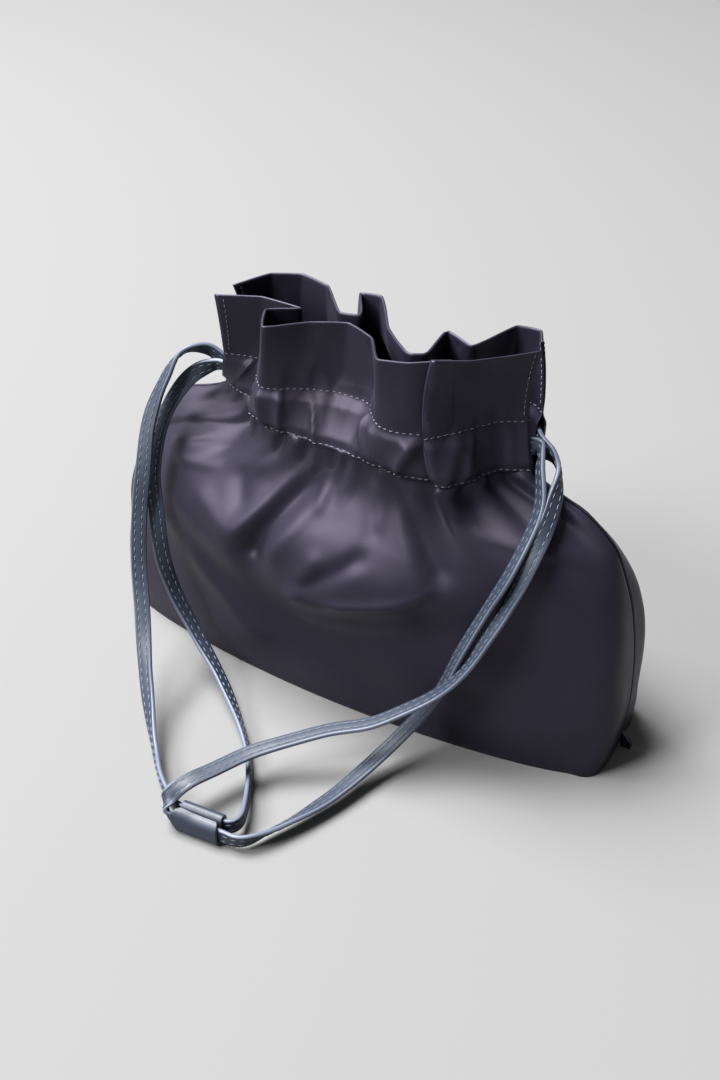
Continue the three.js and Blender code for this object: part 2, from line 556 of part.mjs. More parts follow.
// Point on the centre line of a keeper loop, at a distance along it from its middle.
function keeperPoint(loop, distance) {
  const turn = THREE.MathUtils.degToRad(KEEPER_PLACE.turn);
  return [
    KEEPER_PLACE.x + distance * Math.cos(turn) - loop.across * Math.sin(turn),
    KEEPER_PLACE.y + distance * Math.sin(turn) + loop.across * Math.cos(turn),
    loop.low + loopHeight / 2, 90,
  ];
}

// Stations on the centre line of the channel, from inside one end of a collar out through its
// mouth, with the way up the channel that the strap's width follows.
function mouthStations(folds, end) {
  const pathAt = (height) => {
    const path = neckPath(folds, height);
    return end > 0 ? path.reverse() : path;
  };
  const low = pathAt(channelMiddle - hollowHeight);
  const high = pathAt(channelMiddle + hollowHeight);
  const stations = Array.from({ length: MOUTH_COLUMNS }, (_, i) => MOUTH_COLUMNS - 1 - i).map((i) => ({
    point: low[i].clone().lerp(high[i], 0.5),
    across: high[i].clone().sub(low[i]).normalize(),
  }));
  const [first, mouth] = stations.slice(-2);
  const outwards = mouth.point.clone().sub(first.point).normalize();
  const outside = mouth.point.clone().addScaledVector(outwards, MOUTH_RUN);
  return [...stations, { point: outside, across: mouth.across.clone() }];
}

// A flat strap: its rounded section carried through its stations. A station gives the strap's
// width as a direction, or as a lean out of the level in degrees.
function strapGeometry(stations) {
  const curve = new THREE.CatmullRomCurve3(stations.map(({ point }) => point), false, 'centripetal');
  const last = stations.length - 1;
  const widths = stations.map(({ across, lean }, i) => {
    if (across) return across;
    const along = curve.getTangent(i / last);
    const level = new THREE.Vector3(-along.y, along.x, 0).normalize();
    const face = along.clone().cross(level);
    const angle = THREE.MathUtils.degToRad(lean);
    return level.multiplyScalar(Math.cos(angle)).addScaledVector(face, Math.sin(angle));
  });
  for (let i = 1; i <= last; i += 1) {
    if (widths[i].dot(widths[i - 1]) < 0) widths[i].negate();
  }
  const halfWidth = STRAP_WIDTH / 2;
  const halfThick = STRAP_THICKNESS / 2;
  const soft = STRAP_THICKNESS * STRAP_SOFTNESS;
  const section = [
    [halfWidth - soft, -halfThick], [halfWidth, -halfThick + soft],
    [halfWidth, halfThick - soft], [halfWidth - soft, halfThick],
    [-halfWidth + soft, halfThick], [-halfWidth, halfThick - soft],
    [-halfWidth, -halfThick + soft], [-halfWidth + soft, -halfThick],
  ];
  const ringAt = (place) => {
    const i = Math.min(Math.floor(place), last - 1);
    const along = curve.getTangent(place / last);
    const across = widths[i].clone().lerp(widths[i + 1], place - i);
    across.addScaledVector(along, -across.dot(along)).normalize();
    const through = along.clone().cross(across);
    return section.map(([w, t]) => curve.getPoint(place / last).addScaledVector(across, w)
      .addScaledVector(through, t));
  };
  const rings = [ringAt(0)];
  for (let i = 1; i <= last; i += 1) {
    const span = stations[i].point.distanceTo(stations[i - 1].point);
    const cuts = Math.max(Math.round(span / STRAP_STEP), 1);
    for (let k = 1; k <= cuts; k += 1) rings.push(ringAt(i - 1 + k / cuts));
  }
  return ringSolid(rings, [], [section.map((_, k) => k)]);
}

function strapStations(end, outward, returning, loop) {
  const free = (rows) => rows.map(([x, y, z, lean]) => ({ point: new THREE.Vector3(x, y, z), lean }));
  const reach = KEEPER_LENGTH / 2 + KEEPER_RUN;
  const through = [-reach, -KEEPER_LENGTH / 2, 0, KEEPER_LENGTH / 2, reach];
  if (end > 0) through.reverse();
  return [
    ...mouthStations(end < 0 ? backFolds : frontFolds, end),
    ...free(outward),
    ...free(through.map((distance) => keeperPoint(loop, distance))),
    ...free(returning),
    ...mouthStations(end < 0 ? frontFolds : backFolds, end).reverse(),
  ];
}

const satin = () => new THREE.MeshStandardMaterial({ color: 0x3a3844, roughness: 0.42, metalness: 0 });
const leather = () => new THREE.MeshStandardMaterial({ color: 0x414a5c, roughness: 0.5, metalness: 0 });

const group = new THREE.Group();

function addPiece(name, geometry, material, parent = group) {
  const mesh = new THREE.Mesh(geometry, material);
  mesh.name = name;
  parent.add(mesh);
  return mesh;
}

addPiece('base', baseGeometry(), satin());
addPiece('front_panel', panelGeometry(-1, frontFolds, frontCrease, frontRidges), satin());
addPiece('back_panel', panelGeometry(1, backFolds, backCrease, backRidges), satin());
addPiece('front_collar', collarGeometry(-1, frontFolds), satin());
addPiece('back_collar', collarGeometry(1, backFolds), satin());
addPiece('left_corner_tab', tabGeometry(-1), satin());
addPiece('right_corner_tab', tabGeometry(1), satin());
addPiece('left_drawstrap', strapGeometry(
  strapStations(-1, leftStrapRoute, leftStrapReturn, keeperLoops[1])), leather());
addPiece('right_drawstrap', strapGeometry(
  strapStations(1, rightStrapRoute, rightStrapReturn, keeperLoops[0])), leather());

const keeperMount = new THREE.Group();
keeperMount.position.set(KEEPER_PLACE.x, KEEPER_PLACE.y, 0);
keeperMount.rotation.z = THREE.MathUtils.degToRad(KEEPER_PLACE.turn);
addPiece('keeper', keeperGeometry(), leather(), keeperMount);
group.add(keeperMount);

export default group;
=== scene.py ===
# %% [markdown]
# A satin drawstring bag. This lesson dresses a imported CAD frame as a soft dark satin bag: a
# boxed pouch that sags over itself, a gathered casing with a ruffled collar, and two flat
# leather drawstraps that meet in a rolled keeper on the floor.
# Everything is in metres in the frame's own axes: +X along the bag, +Y to its back, +Z up.

# %% Load the frame
import math

import bpy
import numpy as np
from mathutils import Matrix


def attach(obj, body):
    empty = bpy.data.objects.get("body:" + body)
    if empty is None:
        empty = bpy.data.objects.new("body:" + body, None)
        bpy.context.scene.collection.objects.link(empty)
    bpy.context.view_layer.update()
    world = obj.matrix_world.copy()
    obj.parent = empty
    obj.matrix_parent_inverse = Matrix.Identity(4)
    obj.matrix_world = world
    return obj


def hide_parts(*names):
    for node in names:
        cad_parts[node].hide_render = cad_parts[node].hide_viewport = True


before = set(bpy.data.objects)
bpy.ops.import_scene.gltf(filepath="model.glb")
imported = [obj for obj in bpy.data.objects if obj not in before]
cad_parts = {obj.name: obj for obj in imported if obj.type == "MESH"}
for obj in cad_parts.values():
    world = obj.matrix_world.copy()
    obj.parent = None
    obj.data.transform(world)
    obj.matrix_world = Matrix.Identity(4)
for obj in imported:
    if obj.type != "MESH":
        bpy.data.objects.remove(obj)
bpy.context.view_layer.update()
MM = 0.001
print("CAD nodes:", sorted(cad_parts))

# %% [markdown]
# The camera stands in front of the bag, to its right and above it. Its three axes are worked
# out from the angles, and the lens is a slightly wide one.

# %% Camera
AZIMUTH = math.radians(30.23)
ELEVATION = math.radians(37.04)
CAMERA_PLACE = np.array([0.24627, -0.43291, 0.44632])
LENS = 42.0
PHOTO_SIZE = (720, 1080)


def link_object(name, data):
    piece = bpy.data.objects.new(name, data)
    bpy.context.scene.collection.objects.link(piece)
    return piece


def aim(piece, right, up, back, place):
    """Puts a camera or light at a place, with its own three axes turned as given."""
    matrix = Matrix.Identity(4)
    for column, axis in enumerate((right, up, back, place)):
        for row in range(3):
            matrix[row][column] = float(axis[row])
    piece.matrix_world = matrix


def make_camera():
    back = np.array([math.sin(AZIMUTH) * math.cos(ELEVATION),
                     -math.cos(AZIMUTH) * math.cos(ELEVATION), math.sin(ELEVATION)])
    right = np.array([math.cos(AZIMUTH), math.sin(AZIMUTH), 0.0])
    up = np.cross(back, right)
    data = bpy.data.cameras.new("camera")
    data.sensor_fit = "VERTICAL"
    data.sensor_height = 36.0
    data.lens = LENS
    data.clip_start = 0.01
    camera = link_object("camera", data)
    aim(camera, right, up, back, CAMERA_PLACE)
    bpy.context.scene.camera = camera
    return camera


camera = make_camera()
bpy.context.scene.render.resolution_x = PHOTO_SIZE[0]
bpy.context.scene.render.resolution_y = PHOTO_SIZE[1]
print("camera at", [round(float(value), 3) for value in camera.matrix_world.translation])

# %% [markdown]
# Small helpers. A smooth curve goes through given points, and a table gives a smooth
# value between its rows. Both are the same rules as in the CAD source, so shapes agree.


# %% Curves and tables
def clamp01(value):
    return np.clip(value, 0.0, 1.0)


def smooth(value):
    value = clamp01(value)
    return value * value * (3.0 - 2.0 * value)


def mix(a, b, t):
    return a + (b - a) * t


def unit(vectors):
    return vectors / np.maximum(np.linalg.norm(vectors, axis=-1, keepdims=True), 1e-12)


def curve_at(points, places):
    """Points of a centripetal Catmull-Rom curve at places counted in control points."""
    points = np.asarray(points, float)
    places = np.asarray(places, float)
    padded = np.vstack([2 * points[0] - points[1], points, 2 * points[-1] - points[-2]])
    k = np.clip(places.astype(int), 0, len(points) - 2)
    t = (places - k)[:, None]
    p0, p1, p2, p3 = (padded[k + step] for step in range(4))
    d0, d1, d2 = (np.maximum(np.linalg.norm(b - a, axis=1, keepdims=True), 1e-9) ** 0.5
                  for a, b in ((p0, p1), (p1, p2), (p2, p3)))
    m1 = ((p1 - p0) / d0 - (p2 - p0) / (d0 + d1) + (p2 - p1) / d1) * d1
    m2 = ((p2 - p1) / d1 - (p3 - p1) / (d1 + d2) + (p3 - p2) / d2) * d1
    return p1 + t * (m1 + t * (3 * (p2 - p1) - 2 * m1 - m2 + t * (2 * (p1 - p2) + m1 + m2)))


def table_value(table, column, place):
    """Smooth value of a column at places along the table's first column."""
    table = np.asarray(table, float)
    by = table[:, 0]
    value = table[:, column]
    slope = np.empty(len(by))
    slope[1:-1] = (value[2:] - value[:-2]) / (by[2:] - by[:-2])
    slope[0] = (value[1] - value[0]) / (by[1] - by[0])
    slope[-1] = (value[-1] - value[-2]) / (by[-1] - by[-2])
    place = np.asarray(place, float)
    k = np.clip(np.searchsorted(by, place, side="right") - 1, 0, len(by) - 2)
    span = by[k + 1] - by[k]
    t = clamp01((place - by[k]) / span)
    t2 = t * t
    t3 = t2 * t
    return ((2 * t3 - 3 * t2 + 1) * value[k] + (t3 - 2 * t2 + t) * span * slope[k]
            + (3 * t2 - 2 * t3) * value[k + 1] + (t3 - t2) * span * slope[k + 1])


def length_shares(path):
    steps = np.linalg.norm(np.diff(path, axis=0), axis=1)
    sums = np.concatenate([[0.0], np.cumsum(steps)])
    return sums / sums[-1]


# %% [markdown]
# Colours are given as sRGB hex and turned to linear by one function. They were matched to
# the photo under this scene's light, and are darker than the real ones are likely to be.


# %% Colour and node helpers
def linear(hex_colour):
    channels = [int(hex_colour[i:i + 2], 16) / 255 for i in (1, 3, 5)]
    return tuple(c / 12.92 if c <= 0.04045 else ((c + 0.055) / 1.055) ** 2.4
                 for c in channels) + (1.0,)


def add_node(tree, kind, settings=None, links=None):
    """A node with its settings, and its inputs as values or as sockets to link from."""
    node = tree.nodes.new(kind)
    for name, value in (settings or {}).items():
        setattr(node, name, value)
    for name, value in (links or {}).items():
        socket = node.inputs[name]
        if isinstance(value, bpy.types.NodeSocket):
            tree.links.new(value, socket)
        else:
            socket.default_value = value
    return node


def new_material(name, looks):
    """A material with its shader's constant looks set, and its tree and shader to build on."""
    material = bpy.data.materials.new(name)
    material.use_nodes = True
    tree = material.node_tree
    shader = tree.nodes["Principled BSDF"]
    for socket, value in looks.items():
        shader.inputs[socket].default_value = value
    return material, tree, shader


# %% [markdown]
# The satin is a dark blue with a little plum in it, woven from bright filament, so it shines
# broadly across the weft. The weave itself is far too fine to see: what shows is a faint
# streak along the threads and a slight crinkle. The straps are smooth calf leather, with
# painted edges and thread a little lighter than the leather.


# %% Materials
def satin_material(name, colour, shine, laid_flat):
    """Satin patterned in millimetres, on the cloth laid flat or else on the piece itself."""
    material, tree, shader = new_material(name, {
        "Base Color": linear(colour), "Roughness": 0.50, "Specular IOR Level": shine,
        "Specular Tint": linear("#e0d6f0"), "Anisotropic": 0.3,
        "Sheen Weight": 0.02, "Sheen Roughness": 0.35, "Sheen Tint": linear("#b9b0cc")})
    if laid_flat:
        place = add_node(tree, "ShaderNodeUVMap", {"uv_map": "cloth"}).outputs["UV"]
    else:
        solid = add_node(tree, "ShaderNodeTexCoord")
        scaled = add_node(tree, "ShaderNodeMapping", None, {
            "Vector": solid.outputs["Object"], "Scale": (1000.0, 1000.0, 1000.0)})
        place = scaled.outputs["Vector"]
    threads = add_node(tree, "ShaderNodeMapping", None, {
        "Vector": place, "Scale": (0.6, 7.0, 1.0)})
    streak = add_node(tree, "ShaderNodeTexNoise", {"noise_dimensions": "2D"}, {
        "Vector": threads.outputs["Vector"], "Scale": 1.0, "Detail": 3.0})
    crinkle = add_node(tree, "ShaderNodeTexNoise", {"noise_dimensions": "2D"}, {
        "Vector": place, "Scale": 0.05, "Detail": 2.0, "Roughness": 0.4,
        "Distortion": 0.3})
    thread_bump = add_node(tree, "ShaderNodeBump", None, {
        "Strength": 0.12, "Distance": 0.00005, "Height": streak.outputs["Fac"]})
    crinkle_bump = add_node(tree, "ShaderNodeBump", None, {
        "Strength": 0.35, "Distance": 0.0012, "Height": crinkle.outputs["Fac"],
        "Normal": thread_bump.outputs["Normal"]})
    tree.links.new(crinkle_bump.outputs["Normal"], shader.inputs["Normal"])
    return material


def leather_material(name, colour, roughness):
    material, tree, shader = new_material(name, {
        "Base Color": linear(colour), "Roughness": roughness, "Specular IOR Level": 0.34,
        "Coat Weight": 0.05, "Coat Roughness": 0.35})
    place = add_node(tree, "ShaderNodeTexCoord")
    grain = add_node(tree, "ShaderNodeTexVoronoi", {"feature": "DISTANCE_TO_EDGE"}, {
        "Vector": place.outputs["Object"], "Scale": 1900.0})
    mottle = add_node(tree, "ShaderNodeTexNoise", None, {
        "Vector": place.outputs["Object"], "Scale": 260.0, "Detail": 5.0})
    shade = add_node(tree, "ShaderNodeMapRange", None, {
        "Value": mottle.outputs["Fac"], "To Min": roughness - 0.08, "To Max": roughness + 0.1})
    bump = add_node(tree, "ShaderNodeBump", None, {
        "Strength": 0.3, "Distance": 0.00006, "Height": grain.outputs["Distance"]})
    soft = add_node(tree, "ShaderNodeBump", None, {
        "Strength": 0.4, "Distance": 0.0003, "Height": mottle.outputs["Fac"],
        "Normal": bump.outputs["Normal"]})
    tree.links.new(shade.outputs["Result"], shader.inputs["Roughness"])
    tree.links.new(soft.outputs["Normal"], shader.inputs["Normal"])
    return material


def thread_material(name, colour):
    material, tree, shader = new_material(name, {
        "Base Color": linear(colour), "Roughness": 0.5, "Sheen Weight": 0.2})
    place = add_node(tree, "ShaderNodeTexCoord")
    twist = add_node(tree, "ShaderNodeTexWave", {"bands_direction": "DIAGONAL"}, {
        "Vector": place.outputs["Object"], "Scale": 1200.0})
    bump = add_node(tree, "ShaderNodeBump", None, {
        "Strength": 0.5, "Distance": 0.00008, "Height": twist.outputs["Fac"]})
    tree.links.new(bump.outputs["Normal"], shader.inputs["Normal"])
    return material


satin = satin_material("dark plum navy satin, filament woven", "#13121c", 0.38, True)
base_satin = satin_material("plum navy satin over a firm base", "#13121b", 0.38, False)
strap_leather = leather_material("navy calf leather, split and stitched", "#1f2632", 0.50)
strap_edge = leather_material("painted leather edge", "#454b59", 0.46)
strap_thread = thread_material("grey blue waxed thread", "#3a4050")
satin_thread = thread_material("plum navy sewing thread", "#45424f")
print("materials:", [material.name for material in bpy.data.materials])

# %% [markdown]
# A mesh from a grid of points, rows by columns, with a second set of coordinates that lays
# the cloth out flat in millimetres, so patterns keep the size of the real thing.


# %% Mesh helpers
def shade_smooth(mesh):
    mesh.polygons.foreach_set("use_smooth", np.ones(len(mesh.polygons), bool))
    mesh.update()


def grid_faces(rows, columns, wrap=False):
    j, i = np.meshgrid(np.arange(rows - 1), np.arange(columns if wrap else columns - 1),
                       indexing="ij")
    step = (i + 1) % columns
    return np.stack([j * columns + i, j * columns + step, (j + 1) * columns + step,
                     (j + 1) * columns + i], axis=-1).reshape(-1, 4)


def grid_piece(name, grid, flat, materials, flip=False, wrap=False, ends=False):
    """An object from grid[row, column] in millimetres, and flat coordinates of the same shape."""
    rows, columns = grid.shape[:2]
    faces = grid_faces(rows, columns, wrap)
    if flip:
        faces = faces[:, ::-1]
    polygons = faces.tolist()
    if ends:
        first = list(range(columns))
        last = [(rows - 1) * columns + i for i in range(columns)]
        polygons += [first if flip else first[::-1], last[::-1] if flip else last]
    mesh = bpy.data.meshes.new(name)
    mesh.from_pydata((grid.reshape(-1, 3) * MM).tolist(), [], polygons)
    layer = mesh.uv_layers.new(name="cloth")
    loops = np.empty(len(mesh.loops), int)
    mesh.loops.foreach_get("vertex_index", loops)
    layer.data.foreach_set("uv", flat.reshape(-1, 2)[loops].astype(np.float32).ravel())
    for material in materials:
        mesh.materials.append(material)
    shade_smooth(mesh)
    return link_object(name, mesh)


def grid_normals(grid):
    along = np.gradient(grid, axis=1)
    up = np.gradient(grid, axis=0)
    return unit(np.cross(along, up))


# %% [markdown]
# Stitches are a little geometry-nodes tool. It puts one bead of thread on each point, turns
# it along the seam, and gives back a plain mesh.


# %% Stitch tool
ALONG_STEP = 0.4


def stitch_tree(material):
    tree = bpy.data.node_groups.new("stitches", "GeometryNodeTree")
    face = tree.interface
    face.new_socket("Geometry", in_out="INPUT", socket_type="NodeSocketGeometry")
    length = face.new_socket("Stitch length", in_out="INPUT", socket_type="NodeSocketFloat")
    radius = face.new_socket("Thread radius", in_out="INPUT", socket_type="NodeSocketFloat")
    face.new_socket("Geometry", in_out="OUTPUT", socket_type="NodeSocketGeometry")
    source = add_node(tree, "NodeGroupInput")
    bead = add_node(tree, "GeometryNodeMeshUVSphere", None, {
        "Segments": 6, "Rings": 5, "Radius": 0.5})
    stretch = add_node(tree, "ShaderNodeCombineXYZ")
    double = add_node(tree, "ShaderNodeMath", {"operation": "MULTIPLY"}, {
        0: source.outputs["Thread radius"], 1: 2.0})
    tree.links.new(source.outputs["Stitch length"], stretch.inputs["X"])
    tree.links.new(double.outputs[0], stretch.inputs["Y"])
    tree.links.new(double.outputs[0], stretch.inputs["Z"])
    along = add_node(tree, "GeometryNodeInputNamedAttribute", {"data_type": "FLOAT_VECTOR"}, {
        "Name": "along"})
    turn = add_node(tree, "FunctionNodeAlignRotationToVector", {"axis": "X"}, {
        "Vector": along.outputs["Attribute"]})
    points = add_node(tree, "GeometryNodeMeshToPoints", None, {
        "Mesh": source.outputs["Geometry"]})
    placed = add_node(tree, "GeometryNodeInstanceOnPoints", None, {
        "Points": points.outputs["Points"], "Instance": bead.outputs["Mesh"],
        "Rotation": turn.outputs["Rotation"], "Scale": stretch.outputs["Vector"]})
    real = add_node(tree, "GeometryNodeRealizeInstances", None, {
        "Geometry": placed.outputs["Instances"]})
    smoothed = add_node(tree, "GeometryNodeSetShadeSmooth", None, {
        "Geometry": real.outputs["Geometry"]})
    painted = add_node(tree, "GeometryNodeSetMaterial", None, {
        "Geometry": smoothed.outputs["Geometry"], "Material": material})
    target = add_node(tree, "NodeGroupOutput")
    tree.links.new(painted.outputs["Geometry"], target.inputs["Geometry"])
    return tree, {"length": length.identifier, "radius": radius.identifier}


def stitches(name, places, alongs, length, radius, material):
    """Beads of thread at places, in millimetres, lying along the given directions."""
    mesh = bpy.data.meshes.new(name + " points")
    mesh.from_pydata((np.asarray(places) * MM).tolist(), [], [])
    attribute = mesh.attributes.new("along", "FLOAT_VECTOR", "POINT")
    attribute.data.foreach_set("vector", np.asarray(alongs, np.float32).ravel())
    holder = link_object(name + " points", mesh)
    tree, sockets = stitch_tree(material)
    modifier = holder.modifiers.new("stitches", "NODES")
    modifier.node_group = tree
    modifier[sockets["length"]] = length * MM
    modifier[sockets["radius"]] = radius * MM
    bpy.context.view_layer.update()
    evaluated = holder.evaluated_get(bpy.context.evaluated_depsgraph_get())
    made = bpy.data.meshes.new_from_object(evaluated)
    made.name = name
    bpy.data.objects.remove(holder)
    piece = link_object(name, made)
    print(name, len(places), "stitches,", len(made.polygons), "faces")
    return piece


def along_path(path, pitch, start):
    """Places every pitch along a path of points, and the path's direction there."""
    sums = np.concatenate([[0.0], np.cumsum(np.linalg.norm(np.diff(path, axis=0), axis=1))])
    marks = np.arange(start, sums[-1], pitch)
    before, places, after = (
        np.stack([np.interp(marks + step, sums, path[:, k]) for k in range(3)], axis=1)
        for step in (-ALONG_STEP, 0.0, ALONG_STEP))
    return places, unit(after - before)


# %% [markdown]
# The folds. Each row of a fold table is the tip of one fold at the channel's foot, its top
# and the brim, as shares of half the neck's length and depth. The crease is where each panel
# sags over itself, and ridges are single folds and hollows in the cloth.

# %% Sizes and fold tables
BASE_LENGTH = 280.0
BASE_DEPTH = 58.0
SHOULDER_HEIGHT = 113.0
CHANNEL_FOOT = 139.0
CHANNEL_HEIGHT = 21.0
COLLAR_HEIGHT = 33.0
NECK_LENGTH = 160.0
NECK_DEPTH = 64.0
CLOTH = 1.2
STRAP_WIDTH = 8.0
STRAP_THICKNESS = 2.2
CHANNEL_CLEARANCE = 0.8
CHANNEL_TOP = CHANNEL_FOOT + CHANNEL_HEIGHT
BRIM = CHANNEL_TOP + COLLAR_HEIGHT
TUCK_SHARE = 0.64
MIDDLE_SETTLE_SHARE = 0.80
END_SETTLE_SHARE = 0.52
END_SETTLE_RUN = 0.30
END_FADE = 0.07
SIDE_SQUARENESS = 8

# height, length, side, bow
BODY_SECTIONS = [
    (0.00, 0.990, 0.50, 0.27), (0.12, 0.996, 0.50, 0.31), (0.30, 1.000, 0.48, 0.36),
    (0.52, 0.988, 0.42, 0.43), (0.74, 0.957, 0.30, 0.52), (0.90, 0.912, 0.18, 0.58),
    (1.00, 0.872, 0.10, 0.58), (1.10, 0.785, 0.05, 0.55), (1.17, 0.690, 0.02, 0.52),
    (1.24, 0.580, 0.00, 0.49),
]

# foot x and out, top x and out, brim x and out, lift of the brim
FRONT_FOLDS = [
    (-1.010, 0.025, -0.920, 0.34, -0.900, 0.53, 0.00),
    (-0.860, 0.28, -0.730, 0.22, -0.650, 0.24, 0.00),
    (-0.650, 0.42, -0.490, 0.22, -0.380, 0.26, 0.00),
    (-0.640, 0.70, -0.610, 0.56, -0.550, 0.54, 0.00),
    (-0.480, 0.88, -0.500, 0.88, -0.450, 1.00, 0.00),
    (-0.280, 0.90, -0.310, 0.66, -0.260, 0.56, 0.00),
    (-0.060, 0.92, -0.090, 0.48, -0.070, 0.32, 0.00),
    (0.150, 0.94, 0.130, 0.56, 0.120, 0.52, 0.00),
    (0.330, 0.98, 0.270, 0.96, 0.260, 1.00, 0.00),
    (0.470, 1.02, 0.440, 0.94, 0.430, 0.92, 0.02),
    (0.610, 0.90, 0.640, 0.62, 0.630, 0.62, 0.06),
    (0.640, 1.02, 0.540, 0.98, 0.540, 0.86, 0.11),
    (0.760, 0.70, 0.690, 0.46, 0.700, 0.52, 0.05),
    (0.860, 0.26, 0.810, 0.05, 0.820, 0.12, 0.00),
    (1.020, 0.025, 0.940, -0.16, 0.960, -0.28, 0.00),
]
BACK_FOLDS = [
    (-1.010, -0.025, -0.900, -0.04, -0.880, 0.15, 0.00),
    (-0.860, -0.42, -0.800, -0.40, -0.770, -0.42, 0.02),
    (-0.640, -0.70, -0.620, -0.60, -0.600, -0.60, 0.03),
    (-0.400, -0.84, -0.400, -0.56, -0.390, -0.48, 0.03),
    (-0.250, -0.72, -0.170, -0.16, -0.180, 0.10, 0.00),
    (-0.130, -0.76, -0.080, -0.18, -0.070, 0.02, 0.00),
    (-0.060, -0.92, -0.140, -0.56, -0.190, -0.50, 0.03),
    (0.080, -0.94, -0.010, -0.62, -0.070, -0.56, 0.03),
    (0.220, -0.84, 0.180, -0.20, 0.140, 0.16, 0.00),
    (0.360, -0.82, 0.370, 0.16, 0.370, 0.64, 0.00),
    (0.440, -0.88, 0.440, 0.06, 0.450, 0.54, 0.00),
    (0.520, -0.90, 0.470, -0.34, 0.440, -0.10, 0.03),
    (0.660, -0.72, 0.630, -0.24, 0.620, 0.06, 0.00),
    (0.800, -0.62, 0.740, -0.62, 0.730, -0.76, 0.00),
    (0.940, -0.40, 0.900, -0.60, 0.860, -0.80, 0.00),
    (1.020, -0.025, 0.970, -0.46, 0.920, -0.50, 0.00),
]

# along, height, bulge, tuck
FRONT_CREASE = [
    (0.000, 0.53, 0.00, 0.00), (0.080, 0.71, 0.02, 0.02), (0.160, 0.78, 0.06, 0.03),
    (0.270, 0.76, 0.10, 0.05), (0.340, 0.71, 0.12, 0.06), (0.385, 0.72, 0.08, 0.06),
    (0.430, 0.67, 0.11, 0.07), (0.475, 0.64, 0.14, 0.08), (0.530, 0.67, 0.15, 0.08),
    (0.590, 0.72, 0.15, 0.08), (0.645, 0.77, 0.14, 0.07), (0.690, 0.86, 0.08, 0.06),
    (0.730, 0.96, 0.06, 0.05), (0.780, 1.01, 0.09, 0.05), (0.850, 1.02, 0.10, 0.04),
    (0.920, 0.98, 0.06, 0.02), (1.000, 0.60, 0.00, 0.00),
]
BACK_CREASE = [
    (0.000, 0.55, 0.00, 0.00), (0.200, 0.74, 0.08, 0.05), (0.400, 0.66, 0.175, 0.07),
    (0.520, 0.76, 0.06, 0.04), (0.700, 0.68, 0.11, 0.07), (0.860, 0.80, 0.06, 0.04),
    (1.000, 0.60, 0.00, 0.00),
]

# along, height, to along, to height, spread, rise
FRONT_RIDGES = [
    (0.378, 0.72, 0.452, 1.18, 0.095, -0.13), (0.352, 0.80, 0.395, 1.10, 0.050, 0.05),
    (0.418, 0.76, 0.470, 1.05, 0.060, 0.04), (0.703, 0.88, 0.655, 1.20, 0.085, -0.13),
    (0.672, 0.80, 0.640, 1.12, 0.055, 0.05), (0.484, 0.69, 0.575, 0.88, 0.050, -0.045),
    (0.470, 0.62, 0.500, 0.82, 0.045, 0.040), (0.545, 0.66, 0.655, 0.76, 0.050, 0.025),
    (0.570, 1.16, 0.590, 0.97, 0.045, -0.035), (0.610, 1.16, 0.600, 1.00, 0.035, 0.025),
    (0.443, 1.22, 0.452, 1.02, 0.040, -0.045), (0.470, 1.22, 0.480, 1.00, 0.040, 0.040),
    (0.537, 1.22, 0.537, 1.06, 0.040, -0.035), (0.505, 1.22, 0.508, 1.08, 0.035, 0.025),
    (0.075, 0.94, 0.150, 1.10, 0.080, -0.060), (0.130, 0.985, 0.225, 1.21, 0.045, 0.050),
    (0.168, 0.94, 0.225, 0.97, 0.045, 0.040), (0.205, 1.03, 0.260, 1.17, 0.055, -0.085),
    (0.290, 0.99, 0.330, 0.90, 0.060, -0.045), (0.310, 1.06, 0.350, 1.16, 0.055, 0.045),
    (0.250, 0.86, 0.330, 0.78, 0.080, 0.030), (0.720, 1.16, 0.800, 1.08, 0.060, -0.055),
    (0.815, 1.055, 0.960, 0.990, 0.060, 0.040), (0.790, 1.17, 0.950, 1.12, 0.070, -0.030),
    (0.181, 0.66, 0.376, 0.24, 0.120, 0.035), (0.700, 0.78, 0.740, 0.40, 0.140, 0.030),
    (0.966, 0.344, 0.913, 0.02, 0.080, 0.045),
]
BACK_RIDGES = [
    (0.240, 1.20, 0.160, 0.80, 0.14, -0.08), (0.480, 1.20, 0.520, 0.76, 0.14, -0.10),
    (0.700, 1.20, 0.820, 0.86, 0.14, -0.08), (0.360, 0.56, 0.620, 0.10, 0.20, 0.04),
]


# %% [markdown]
# The gathered neck. At any height the folds' tips give one path of cloth in plan. Columns
# are spaced evenly along the cloth at the channel's foot and keep to their own thread above.

# %% Gathered neck
COLUMN_STEP = 1.3
NECK_CUTS = 4001


def neck_tips(folds, height):
    folds = np.asarray(folds, float)
    whole = BRIM - CHANNEL_FOOT
    rise = (height - CHANNEL_FOOT) / whole
    top = CHANNEL_HEIGHT / whole
    weights = ((rise - top) * (rise - 1) / top, rise * (rise - 1) / (top * (top - 1)),
               rise * (rise - top) / (1 - top))
    x = sum(weight * folds[:, 2 * k] for k, weight in enumerate(weights)) * NECK_LENGTH / 2
    y = -sum(weight * folds[:, 2 * k + 1] for k, weight in enumerate(weights)) * NECK_DEPTH / 2
    z = height + max(rise, 0.0) ** 2 * folds[:, 6] * COLLAR_HEIGHT
    return np.stack([x, y, z], axis=1)


def neck_columns(folds):
    """Places along the folds that are evenly spaced along the cloth, and that cloth's length."""
    fine = np.linspace(0, len(folds) - 1, NECK_CUTS)
    path = curve_at(neck_tips(folds, CHANNEL_FOOT), fine)
    shares = length_shares(path)
    length = np.linalg.norm(np.diff(path, axis=0), axis=1).sum()
    count = int(round(length / COLUMN_STEP))
    return np.interp(np.linspace(0, 1, count + 1), shares, fine), length


